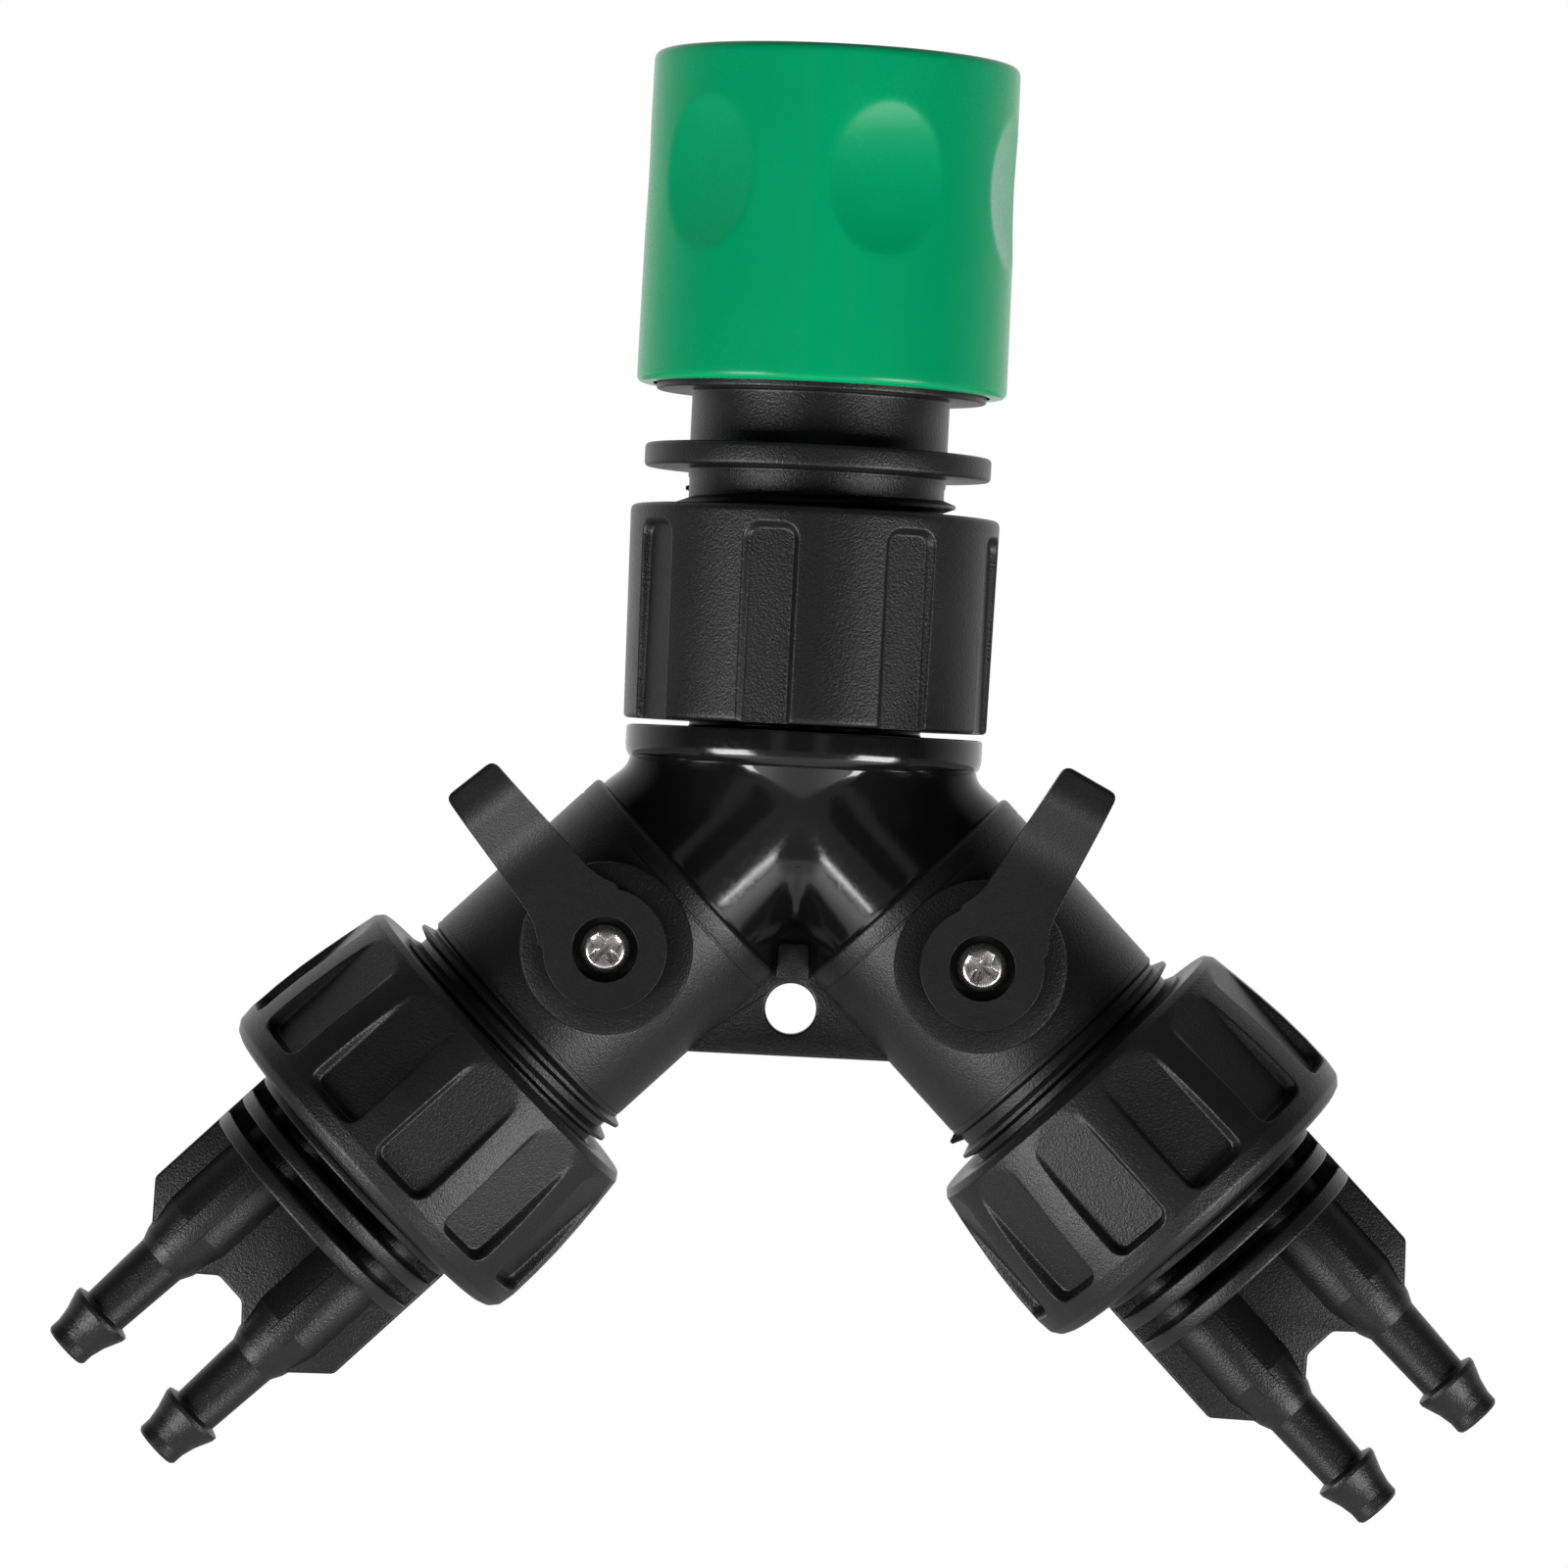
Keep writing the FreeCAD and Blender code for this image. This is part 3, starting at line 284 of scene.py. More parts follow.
class Tree:
    """Short way to write a geometry node tree."""

    def __init__(self, name, inputs):
        self.tree = bpy.data.node_groups.new(name, "GeometryNodeTree")
        face = self.tree.interface
        face.new_socket("Geometry", in_out="INPUT", socket_type="NodeSocketGeometry")
        for label, kind in inputs:
            face.new_socket(label, in_out="INPUT", socket_type=kind)
        face.new_socket("Geometry", in_out="OUTPUT", socket_type="NodeSocketGeometry")
        self.start = self.tree.nodes.new("NodeGroupInput")
        self.end = self.tree.nodes.new("NodeGroupOutput")

    def get(self, label):
        return self.start.outputs[label]

    def plug(self, socket, value):
        if isinstance(value, bpy.types.NodeSocket):
            self.tree.links.new(value, socket)
        elif value is not None:
            socket.default_value = value

    def node(self, kind, values=(), **settings):
        item = self.tree.nodes.new(kind)
        for key, value in settings.items():
            setattr(item, key, value)
        pairs = values.items() if isinstance(values, dict) else enumerate(values)
        for key, value in pairs:
            self.plug(item.inputs[key], value)
        return item

    def maths(self, operation, *values):
        return self.node("ShaderNodeMath", values, operation=operation).outputs[0]

    def close(self, geometry, material):
        real = self.node("GeometryNodeRealizeInstances", {0: geometry})
        paint = self.node("GeometryNodeSetMaterial", {0: real.outputs[0], "Material": material})
        self.plug(self.end.inputs[0], paint.outputs[0])
        return self.tree


FLOAT = "NodeSocketFloat"
MATERIAL = "NodeSocketMaterial"


def sector_angle(tree):
    """Angle from the middle of the nearest repeat, and that middle's own angle."""
    spot = tree.node("ShaderNodeSeparateXYZ", [tree.node("GeometryNodeInputPosition").outputs[0]])
    x, y, z = spot.outputs
    theta = tree.maths("ARCTAN2", y, x)
    sector = tree.maths("DIVIDE", 2 * math.pi, tree.get("Count"))
    phase = tree.maths("RADIANS", tree.get("Phase"))
    steps = tree.maths("DIVIDE", tree.maths("SUBTRACT", theta, phase), sector)
    nearest = tree.maths("ROUND", steps)
    off = tree.maths("MULTIPLY", tree.maths("SUBTRACT", steps, nearest), sector)
    middle = tree.maths("SUBTRACT", theta, off)
    radius = tree.maths("SQRT", tree.maths("ADD", tree.maths("MULTIPLY", x, x),
                                           tree.maths("MULTIPLY", y, y)))
    return off, middle, radius, z


def push_in(tree, off, middle, radius, z, floor, mask):
    """Moves points toward a flat floor that faces each repeat's middle."""
    along = tree.maths("MULTIPLY", radius, tree.maths("COSINE", off))
    across = tree.maths("MULTIPLY", radius, tree.maths("SINE", off))
    depth = tree.maths("MAXIMUM", tree.maths("SUBTRACT", along, floor), 0.0)
    new = tree.maths("SUBTRACT", along, tree.maths("MULTIPLY", depth, mask))
    cos = tree.maths("COSINE", middle)
    sin = tree.maths("SINE", middle)
    x = tree.maths("SUBTRACT", tree.maths("MULTIPLY", new, cos),
                   tree.maths("MULTIPLY", across, sin))
    y = tree.maths("ADD", tree.maths("MULTIPLY", new, sin), tree.maths("MULTIPLY", across, cos))
    place = tree.node("ShaderNodeCombineXYZ", [x, y, z])
    return tree.node("GeometryNodeSetPosition", {"Geometry": tree.get("Geometry"),
                                                 "Position": place.outputs[0]}).outputs[0]


def grip_tree():
    """Rounded-rectangle pockets repeated round a nut."""
    tree = Tree("Grip pockets", [("Count", FLOAT), ("Phase", FLOAT), ("Half angle", FLOAT),
                                 ("Low", FLOAT), ("High", FLOAT), ("Corner", FLOAT),
                                 ("Floor", FLOAT), ("Wall", FLOAT), ("Reach", FLOAT),
                                 ("Material", MATERIAL)])
    off, middle, radius, z = sector_angle(tree)
    reach = tree.get("Reach")
    corner = tree.get("Corner")
    across = tree.maths("MULTIPLY", tree.maths("ABSOLUTE", off), reach)
    half = tree.maths("MULTIPLY", tree.maths("RADIANS", tree.get("Half angle")), reach)
    mid = tree.maths("DIVIDE", tree.maths("ADD", tree.get("Low"), tree.get("High")), 2.0)
    tall = tree.maths("DIVIDE", tree.maths("SUBTRACT", tree.get("High"), tree.get("Low")), 2.0)
    up = tree.maths("ABSOLUTE", tree.maths("SUBTRACT", z, mid))
    qx = tree.maths("SUBTRACT", across, tree.maths("SUBTRACT", half, corner))
    qy = tree.maths("SUBTRACT", up, tree.maths("SUBTRACT", tall, corner))
    px = tree.maths("MAXIMUM", qx, 0.0)
    py = tree.maths("MAXIMUM", qy, 0.0)
    outside = tree.maths("SQRT", tree.maths("ADD", tree.maths("MULTIPLY", px, px),
                                            tree.maths("MULTIPLY", py, py)))
    inside = tree.maths("MINIMUM", tree.maths("MAXIMUM", qx, qy), 0.0)
    away = tree.maths("SUBTRACT", tree.maths("ADD", outside, inside), corner)
    wall = tree.node("ShaderNodeMapRange", {
        "Value": away, "From Min": tree.maths("MULTIPLY", tree.get("Wall"), -1.0),
        "From Max": 0.0, "To Min": 1.0, "To Max": 0.0}, interpolation_type="SMOOTHSTEP")
    moved = push_in(tree, off, middle, radius, z, tree.get("Floor"), wall.outputs[0])
    return tree.close(moved, tree.get("Material"))


def dimple_tree():
    """Shallow oval finger dimples repeated round a sleeve."""
    tree = Tree("Finger dimples", [("Count", FLOAT), ("Phase", FLOAT), ("Middle", FLOAT),
                                   ("Centre radius", FLOAT), ("Depth radius", FLOAT),
                                   ("Wide radius", FLOAT), ("Tall radius", FLOAT),
                                   ("Softness", FLOAT), ("Inner limit", FLOAT),
                                   ("Material", MATERIAL)])
    off, middle, radius, z = sector_angle(tree)
    along = tree.maths("MULTIPLY", radius, tree.maths("COSINE", off))
    across = tree.maths("MULTIPLY", radius, tree.maths("SINE", off))
    a = tree.maths("DIVIDE", across, tree.get("Wide radius"))
    b = tree.maths("DIVIDE", tree.maths("SUBTRACT", z, tree.get("Middle")),
                   tree.get("Tall radius"))
    level = tree.maths("ADD", tree.maths("MULTIPLY", a, a), tree.maths("MULTIPLY", b, b))
    depth = tree.maths("SQRT", tree.maths("MAXIMUM", tree.maths("SUBTRACT", 1.0, level), 0.0))
    floor = tree.maths("SUBTRACT", tree.get("Centre radius"),
                       tree.maths("MULTIPLY", depth, tree.get("Depth radius")))
    soft = tree.maths("SMOOTH_MIN", along, floor, tree.get("Softness"))
    skin = tree.maths("GREATER_THAN", radius, tree.get("Inner limit"))
    moved = push_in(tree, off, middle, radius, z, soft, skin)
    return tree.close(moved, tree.get("Material"))


def thread_tree():
    """A V ridge that follows a right-hand helix; the input piece is kept with it."""
    tree = Tree("Pipe thread", [("Start", FLOAT), ("Turns", FLOAT), ("Pitch", FLOAT),
                                ("Root radius", FLOAT), ("Crest radius", FLOAT),
                                ("Root half", FLOAT), ("Crest half", FLOAT), ("Phase", FLOAT),
                                ("Material", MATERIAL)])
    height = tree.maths("MULTIPLY", tree.get("Turns"), tree.get("Pitch"))
    path = tree.node("GeometryNodeCurveSpiral", {
        "Resolution": 96, "Rotations": tree.get("Turns"), "Start Radius": tree.get("Root radius"),
        "End Radius": tree.get("Root radius"), "Height": height, "Reverse": True})
    upright = tree.node("GeometryNodeSetCurveNormal", {0: path.outputs[0]}, mode="Z_UP")
    rise = tree.maths("SUBTRACT", tree.get("Crest radius"), tree.get("Root radius"))
    corners = []
    for across, half in ((-0.3, "Root half"), (rise, "Crest half")):
        for sign in (-1.0, 1.0):
            tall = tree.maths("MULTIPLY", tree.get(half), sign)
            corners.append(tree.node("ShaderNodeCombineXYZ", [across, tall, 0.0]).outputs[0])
    section = tree.node("GeometryNodeCurvePrimitiveQuadrilateral", mode="POINTS")
    order = (corners[0], corners[2], corners[3], corners[1])
    for index, corner in enumerate(order):
        tree.plug(section.inputs["Point " + str(index + 1)], corner)
    ridge = tree.node("GeometryNodeCurveToMesh", {"Curve": upright.outputs[0],
                                                  "Profile Curve": section.outputs[0],
                                                  "Fill Caps": True})
    turn = tree.node("ShaderNodeCombineXYZ", [0.0, 0.0, tree.maths("RADIANS", tree.get("Phase"))])
    lift = tree.node("ShaderNodeCombineXYZ", [0.0, 0.0, tree.get("Start")])
    placed = tree.node("GeometryNodeTransform", {"Geometry": ridge.outputs[0],
                                                 "Translation": lift.outputs[0],
                                                 "Rotation": turn.outputs[0]})
    both = tree.node("GeometryNodeJoinGeometry")
    tree.plug(both.inputs[0], tree.get("Geometry"))
    tree.plug(both.inputs[0], placed.outputs[0])
    return tree.close(both.outputs[0], tree.get("Material"))


def pair_tree():
    """Two copies of a piece, set off to either side."""
    tree = Tree("Side by side", [("Offset", FLOAT), ("Material", MATERIAL)])
    both = tree.node("GeometryNodeJoinGeometry")
    for sign in (-1.0, 1.0):
        spot = tree.node("ShaderNodeCombineXYZ",
                         [tree.maths("MULTIPLY", tree.get("Offset"), sign), 0.0, 0.0])
        copy = tree.node("GeometryNodeTransform", {"Geometry": tree.get("Geometry"),
                                                   "Translation": spot.outputs[0]})
        tree.plug(both.inputs[0], copy.outputs[0])
    return tree.close(both.outputs[0], tree.get("Material"))


TREES = {"grip": grip_tree, "dimple": dimple_tree, "thread": thread_tree, "pair": pair_tree}


def grow(item, kind, **values):
    """Runs one of the trees on a piece and keeps the result as a plain mesh."""
    tree = bpy.data.node_groups.get("made " + kind)
    if tree is None:
        tree = TREES[kind]()
        tree.name = "made " + kind
    step = item.modifiers.new(kind, "NODES")
    step.node_group = tree
    for socket in tree.interface.items_tree:
        key = socket.name.lower().replace(" ", "_")
        if socket.in_out == "INPUT" and key in values:
            step[socket.identifier] = values[key]
    return bake(item)


# ------------------------------------------------------------------ materials

class Paint:
    """Short way to write a material."""

    def __init__(self, name):
        self.material = bpy.data.materials.new(name)
        self.material.use_nodes = True
        self.tree = self.material.node_tree
        self.shader = self.tree.nodes["Principled BSDF"]
        self.spot = self.tree.nodes.new("ShaderNodeTexCoord").outputs["Object"]

    def node(self, kind, values=(), **settings):
        item = self.tree.nodes.new(kind)
        for key, value in settings.items():
            setattr(item, key, value)
        for key, value in dict(values).items():
            if isinstance(value, bpy.types.NodeSocket):
                self.tree.links.new(value, item.inputs[key])
            else:
                item.inputs[key].default_value = value
        return item

    def noise(self, scale, detail=2.0, rough=0.5):
        item = self.node("ShaderNodeTexNoise", {"Vector": self.spot, "Scale": scale,
                                                "Detail": detail, "Roughness": rough})
        return item.outputs["Fac"]

    def spread(self, value, low, high, bottom, top):
        item = self.node("ShaderNodeMapRange", {"Value": value, "From Min": low, "From Max": high,
                                                "To Min": bottom, "To Max": top})
        return item.outputs[0]

    def blend(self, factor, first, second):
        item = self.node("ShaderNodeMix", {0: factor, 6: first, 7: second}, data_type="RGBA")
        return item.outputs[2]

    def set(self, **values):
        for key, value in values.items():
            socket = self.shader.inputs[key.replace("_", " ")]
            if isinstance(value, bpy.types.NodeSocket):
                self.tree.links.new(value, socket)
            else:
                socket.default_value = value

    def bump(self, height, distance, strength=1.0):
        item = self.node("ShaderNodeBump", {"Height": height, "Distance": distance,
                                            "Strength": strength})
        self.tree.links.new(item.outputs[0], self.shader.inputs["Normal"])


def shade(colour, factor):
    return (colour[0] * factor, colour[1] * factor, colour[2] * factor, 1.0)


def moulded(name, colour, rough, grain, depth, drift=0.12, shine=0.28):
    """Moulded plastic: slow tone drift, uneven gloss and a fine sparked grain."""
    paint = Paint(name)
    slow = paint.noise(55.0, 3.0, 0.6)
    fine = paint.noise(grain, 3.0, 0.62)
    tone = paint.spread(slow, 0.3, 0.7, 0.0, 1.0)
    paint.set(Base_Color=paint.blend(tone, shade(colour, 1 - drift), shade(colour, 1 + drift)))
    gloss = paint.spread(slow, 0.3, 0.7, rough - 0.025, rough + 0.035)
    speck = paint.spread(fine, 0.3, 0.7, -0.04, 0.04)
    both = paint.node("ShaderNodeMath", {0: gloss, 1: speck}, operation="ADD")
    paint.set(Roughness=both.outputs[0], Specular_IOR_Level=shine)
    paint.bump(fine, depth)
    return paint.material


def plated(name, colour, rough):
    """Bright plated steel with a fine satin break-up and faint handling marks."""
    paint = Paint(name)
    fine = paint.noise(9000.0, 4.0, 0.7)
    slow = paint.noise(420.0, 3.0, 0.6)
    tone = paint.spread(slow, 0.3, 0.7, 0.0, 1.0)
    paint.set(Base_Color=paint.blend(tone, shade(colour, 0.9), shade(colour, 1.04)),
              Roughness=paint.spread(fine, 0.25, 0.75, rough - 0.05, rough + 0.1))
    paint.shader.inputs["Metallic"].default_value = 1.0
    paint.bump(fine, 0.000004, 0.6)
    return paint.material


def rubbery(name, colour):
    """Matt rubber with a faint bloom."""
    paint = Paint(name)
    bloom = paint.noise(700.0, 4.0, 0.7)
    fine = paint.noise(7000.0, 2.0, 0.5)
    tone = paint.spread(bloom, 0.35, 0.75, 0.0, 1.0)
    paint.set(Base_Color=paint.blend(tone, shade(colour, 0.85), shade(colour, 1.6)),
              Roughness=paint.spread(fine, 0.3, 0.7, 0.62, 0.78))
    paint.bump(fine, 0.00001, 0.7)
    return paint.material


def floor_paint(colour):
    """Matt pale studio floor."""
    paint = Paint("pale_floor")
    slow = paint.noise(1.7, 2.0, 0.5)
    tone = paint.spread(slow, 0.3, 0.7, 0.0, 1.0)
    paint.set(Base_Color=paint.blend(tone, shade(colour, 0.985), shade(colour, 1.0)),
              Roughness=0.85)
    return paint.material


def paints():
    """The set of materials, made once from the colours in the sidebar."""
    have = bpy.data.materials
    if "satin_black" in have:
        return have
    colours = bpy.context.scene.splitter_colours
    grain = colours.grain_scale
    black = tuple(colours.black)
    moulded("satin_black", black, colours.satin, grain, 0.00006)
    moulded("gloss_black", tuple(c * 0.8 for c in black), colours.gloss, grain * 0.5, 0.000003,
            shine=0.42)
    moulded("lever_black", tuple(c * 1.05 for c in black), colours.satin + 0.02, grain, 0.00003)
    moulded("sleeve_green", tuple(colours.green), 0.24, grain * 0.6, 0.000005, 0.05, 0.16)
    moulded("acetal", (0.72, 0.71, 0.68), 0.34, grain * 0.7, 0.000004, 0.03)
    moulded("ptfe", (0.82, 0.81, 0.79), 0.5, grain * 0.7, 0.000006, 0.03)
    plated("plated_steel", (0.74, 0.73, 0.71), 0.24)
    rubbery("seal_rubber", (0.012, 0.012, 0.012))
    return have


# ------------------------------------------------------------------ settings

class SplitterSizes(bpy.types.PropertyGroup):
    edge: FloatProperty(name="Moulded edge", description="Radius of the moulded edges, in millimetres",
                        default=0.3, min=0.05, max=0.6)
    melt: FloatProperty(name="Web softness", description="Voxel size of the forked core, in millimetres",
                        default=0.3, min=0.15, max=0.6)
    relax: IntProperty(name="Web relaxation", description="Smoothing rounds on the forked core",
                       default=22, min=0, max=60)
    flutes: IntProperty(name="Nut flutes", description="Grip flutes round the inlet nut",
                        default=8, min=3, max=24)
    pockets: IntProperty(name="Nut pockets", description="Grip pockets round each outlet nut",
                         default=12, min=3, max=30)
    dimples: IntProperty(name="Sleeve dimples", description="Finger dimples round the sleeve",
                         default=6, min=2, max=12)


class SplitterColours(bpy.types.PropertyGroup):
    black: FloatVectorProperty(name="Black plastic", description="Colour of the black mouldings",
                               subtype="COLOR", size=3, default=(0.0055, 0.0055, 0.0057))
    green: FloatVectorProperty(name="Green plastic", description="Colour of the release sleeve",
                               subtype="COLOR", size=3, default=(0.0, 0.222, 0.086))
    satin: FloatProperty(name="Satin roughness", description="Roughness of the grained mouldings",
                         default=0.34, min=0.05, max=1.0, subtype="FACTOR")
    gloss: FloatProperty(name="Gloss roughness", description="Roughness of the polished core",
                         default=0.15, min=0.02, max=1.0, subtype="FACTOR")
    grain_scale: FloatProperty(name="Grain scale", description="Grain bumps per metre",
                               default=4400.0, min=500.0, max=20000.0)


class SplitterStage(bpy.types.PropertyGroup):
    key: FloatProperty(name="Softboxes", description="Power of the two broad softboxes, in watts",
                       default=14.0, min=0.0, max=100.0)
    front: FloatProperty(name="Room light", description="Brightness of the room in front",
                         default=0.012, min=0.0, max=2.0)
    floor_drop: FloatProperty(name="Floor drop", description="Height of the floor below the mouth",
                              default=0.75, min=0.13, max=2.0, unit="LENGTH")
    distance: FloatProperty(name="Camera distance", description="From the object to the camera",
                            default=0.70, min=0.2, max=5.0, unit="LENGTH")
    roll: FloatProperty(name="Camera roll", description="Turn of the camera about its view axis",
                        default=math.radians(2.87), subtype="ANGLE")


# ------------------------------------------------------------------ piece shapes

def even(start, stop, count):
    return [start + (stop - start) * k / count for k in range(count)]


def banded(count, phase, half, reach, fine, coarse, inner=1.2, outer=0.5):
    """Angles round a part, packed close together beside each pocket wall."""
    sector = 2 * math.pi / count
    low = (half - inner) / reach
    high = min((half + outer) / reach, sector / 2)
    steps = []
    for start, stop, step in ((0.0, low, coarse), (low, high, fine), (high, sector / 2, coarse)):
        if stop - start > 1e-6:
            steps += even(start, stop, max(1, round((stop - start) * reach / step)))
    rest = [-value for value in reversed(steps[1:])] + steps
    if sector / 2 - steps[-1] > 1e-6:
        rest.append(sector / 2)
    result = []
    for k in range(count):
        result += [math.radians(phase) + k * sector + value for value in rest]
    return result


def ribboned(outline, bands):
    """Splits an outline's outer run into rows, closer together inside the given bands."""
    result = []
    count = len(outline)
    for index, point in enumerate(outline):
        here = Vector(point)
        there = Vector(outline[(index + 1) % count])
        result.append(tuple(here))
        length = (there - here).length
        if length < 0.05 or min(here.x, there.x) < bands["skin"]:
            continue
        done = 0.0
        while True:
            level = here.lerp(there, done / length).y
            step = bands["coarse"]
            for low, high, fine in bands["fine"]:
                if low <= level <= high:
                    step = fine
            done += step
            if done >= length - step * 0.4:
                break
            result.append(tuple(here.lerp(there, done / length)))
    return result


def loft(name, sections):
    """Closed skin through equal rings of points."""
    mesh = bmesh.new()
    rings = [[mesh.verts.new(point) for point in section] for section in sections]
    for first, second in zip(rings, rings[1:]):
        for i in range(len(first)):
            j = (i + 1) % len(first)
            mesh.faces.new((first[i], first[j], second[j], second[i]))
    mesh.faces.new(rings[0])
    mesh.faces.new(rings[-1])
    bmesh.ops.recalc_face_normals(mesh, faces=mesh.faces)
    return link(name, mesh)


def branch(side, rings=15, points=64):
    """One arm of the core: a skin that runs from under the collar into the housing."""
    turn = arm_in_column(side)
    outer = 1 if side == "left" else -1
    start_run = Vector((0, 0, -1)) * 6.5
    end_run = (turn @ Vector((0, 0, 1))) * 10.0
    sections = []
    for k in range(rings):
        t = k / (rings - 1)
        h1, h2 = 2 * t ** 3 - 3 * t ** 2 + 1, -2 * t ** 3 + 3 * t ** 2
        h3, h4 = t ** 3 - 2 * t ** 2 + t, t ** 3 - t ** 2
        section = []
        for i in range(points):
            a = 2 * math.pi * i / points
            front = math.copysign(abs(math.sin(a)) ** 0.8, math.sin(a))
            top = Vector((16.4 * math.cos(a), 10.6 * front, 1.2))
            end = turn @ Vector((0.8 * outer - 11.0 * math.cos(a), 9.6 * math.sin(a), CORE_END))
            section.append(top * h1 + end * h2 + start_run * h3 + end_run * h4)
        sections.append(section)
    return loft(side + "_branch", sections)


def make_core(sizes):
    """Glossy forked core with collar, neck and the bored waterways."""
    parts = [turned("throat", [(0, -9), (9.0, -9), (9.8, -3.5), (11.8, 0.8), (11.8, 1.8),
                               (0, 1.8)], 96)]
    for side in SIDES:
        tube = rod(side + "_tube", TUBE_RADIUS, -1, CORE_END)
        parts.append(move(tube, arm_in_column(side)))
        parts.append(branch(side))
    core = merge("fork_core", parts)
    remesh(core, sizes.melt, sizes.relax)
    for side in SIDES:
        way = move(rod("way", WATERWAY_RADIUS, 0, 17), arm_in_column(side))
        combine(core, way, "DIFFERENCE")
    combine(core, rod("inlet", INLET_RADIUS, -1, 6), "DIFFERENCE")
    collar = turned("collar", rounded([
        (INLET_RADIUS, 0.2), (16.85, 0.2, 1.7), (16.85, 3.6, 0.35), (10.95, 3.6, 0.3), (10.95, 7.7),
        (11.9, 7.7, 0.25), (11.9, 9.3, 0.3), (11.2, 10.4, 0.3),
        (INLET_RADIUS, 10.4)], 6), 192)
    return merge("fork_core", [core, collar])


def make_tab(sizes):
    """Mid-plane fixing tab with its hole and raised pad."""
    plate = prism("fixing_tab", [(-10.5, -27), (10.5, -27), (3.6, -18.3), (3.6, -13),
                                 (-3.6, -13), (-3.6, -18.3)], -1.5, 1.5)
    hole = move(rod("hole", 2.4, -3, 3), Matrix.Translation((0, 0, -22.5))
                @ Matrix.Rotation(math.radians(90), 4, "X"))
    combine(plate, hole, "DIFFERENCE")
    soften(plate, sizes.edge)
    pad = prism("pad", rounded([(-1.6, -19.7), (1.6, -19.7), (1.6, -16.2, 0.8),
                                (-1.6, -16.2, 0.8)], 6), -2.3, 0)
    soften(pad, 0.25)
    return merge("fixing_tab", [plate, pad])


def make_housing(side, material):
    """Valve housing, stem boss and threaded spigot of one arm."""
    seams = []
    for station in (16.6, 34.6):
        seams += [(12.4, station, 0.08), (12.34, station + 0.05), (12.34, station + 0.2),
                  (12.4, station + 0.25, 0.08)]
    outline = rounded([(6.5, 14.7), (12.4, 14.7, 0.55)] + seams + [
        (12.4, 35.2, 0.25), (12.06, 35.5), (12.06, 48.5), (11.36, 49.2), (9.1, 49.2),
        (9.1, 15.4), (6.5, 15.4)], 4)
    body = turned(side + "_valve_housing", outline, 160)
    swing = Matrix.Translation((0, 0, PIVOT)) @ Matrix.Rotation(math.radians(90), 4, "X")
    boss = turned("boss", rounded([(0, 9.5), (8.05, 9.5), (8.05, 13.2, 0.3), (5.4, 13.2, 0.1),
                                   (5.4, 12.3), (4.0, 12.3), (4.0, 13.2, 0.1), (0, 13.2)], 3), 128)
    combine(body, move(boss, swing))
    combine(body, move(rod("passage", 3.25, 5, 14), swing), "DIFFERENCE")
    combine(body, move(rod("pocket", 4.6, 7.6, 10.2), swing), "DIFFERENCE")
    return grow(body, "thread", start=35.5, turns=7.0, phase=THREAD_PHASE[side],
                material=material, **THREAD)


def make_inlet_nut(sizes, material):
    """Swivel nut with flutes that run out at its lower edge."""
    outline = rounded([
        (11.3, 4.2), (17.15, 4.2, 0.5), (17.45, 24.4, 0.7), (13.6, 24.4, 0.2), (12.35, 23.15),
        (12.35, 12.2), (13.6, 12.2), (13.6, 7.4), (11.3, 7.4)], 5)
    rows = ribboned(outline, {"skin": 16.0, "coarse": 0.45, "fine": [(20.6, 23.3, 0.12)]})
    half, reach = 2.75, 17.3
    angles = banded(sizes.flutes, FLUTE_PHASE, half, reach, 0.1, 0.5, 2.0, 0.4)
    nut = turned("swivel_nut", rows, angles=angles)
    return grow(nut, "grip", count=float(sizes.flutes), phase=FLUTE_PHASE,
                half_angle=math.degrees(half / reach), low=-20.0, high=22.9, corner=1.7,
                floor=16.5, wall=0.75, reach=reach, material=material)


NUT_OUTLINE = ((13.6, 38.4), (16.4, 38.4, 0.3), (16.95, 39.1, 0.3), (17.4, 41.8), (17.8, 44.7),
               (18.13, 47.6), (18.32, 50.5), (18.38, 53.4), (18.2, 55.0, 0.8), (17.6, 55.8, 0.5),
               (16.9, 56.1), (10.4, 56.1), (10.4, 53.6), (13.6, 53.6), (13.6, 50.8),
               (12.35, 50.8), (12.35, 39.65))


def make_outlet_nut(side, sizes, material):
    """Union nut with rounded pockets between narrow ribs."""
    rows = ribboned(rounded(NUT_OUTLINE, 4), {"skin": 16.0, "coarse": 0.4,
                                              "fine": [(51.9, 53.6, 0.1)]})
    half, reach = 3.3, 18.0
    angles = banded(sizes.pockets, POCKET_PHASE[side], half, reach, 0.1, 0.5, 1.2, 0.4)
    nut = turned(side + "_union_nut", rows, angles=angles)
    return grow(nut, "grip", count=float(sizes.pockets), phase=POCKET_PHASE[side],
                half_angle=math.degrees(half / reach), low=0.0, high=53.3, corner=1.5,
                floor=16.95, wall=0.6, reach=reach, material=material)


def make_sleeve(sizes, material):
    """Sliding release sleeve with its ring of oval dimples."""
    outline = rounded([
        (15.95, 35.9), (17.5, 35.9, 1.2), (17.3, 67.2, 1.4), (15.3, 67.2, 0.3), (15.3, 63.5),
        (14.0, 63.5, 0.2), (14.0, 52.0), (12.7, 52.0), (12.7, 50.0), (15.95, 50.0)], 6)
    rows = ribboned(outline, {"skin": 16.6, "coarse": 0.5, "fine": [(47.6, 62.8, 0.2)]})
    sleeve = turned("grip_sleeve", rows, 432)
    return grow(sleeve, "dimple", count=float(sizes.dimples), phase=DIMPLE_PHASE, middle=55.2,
                centre_radius=22.0, depth_radius=5.6, wide_radius=33.0, tall_radius=12.7,
                softness=0.22, inner_limit=16.2, material=material)


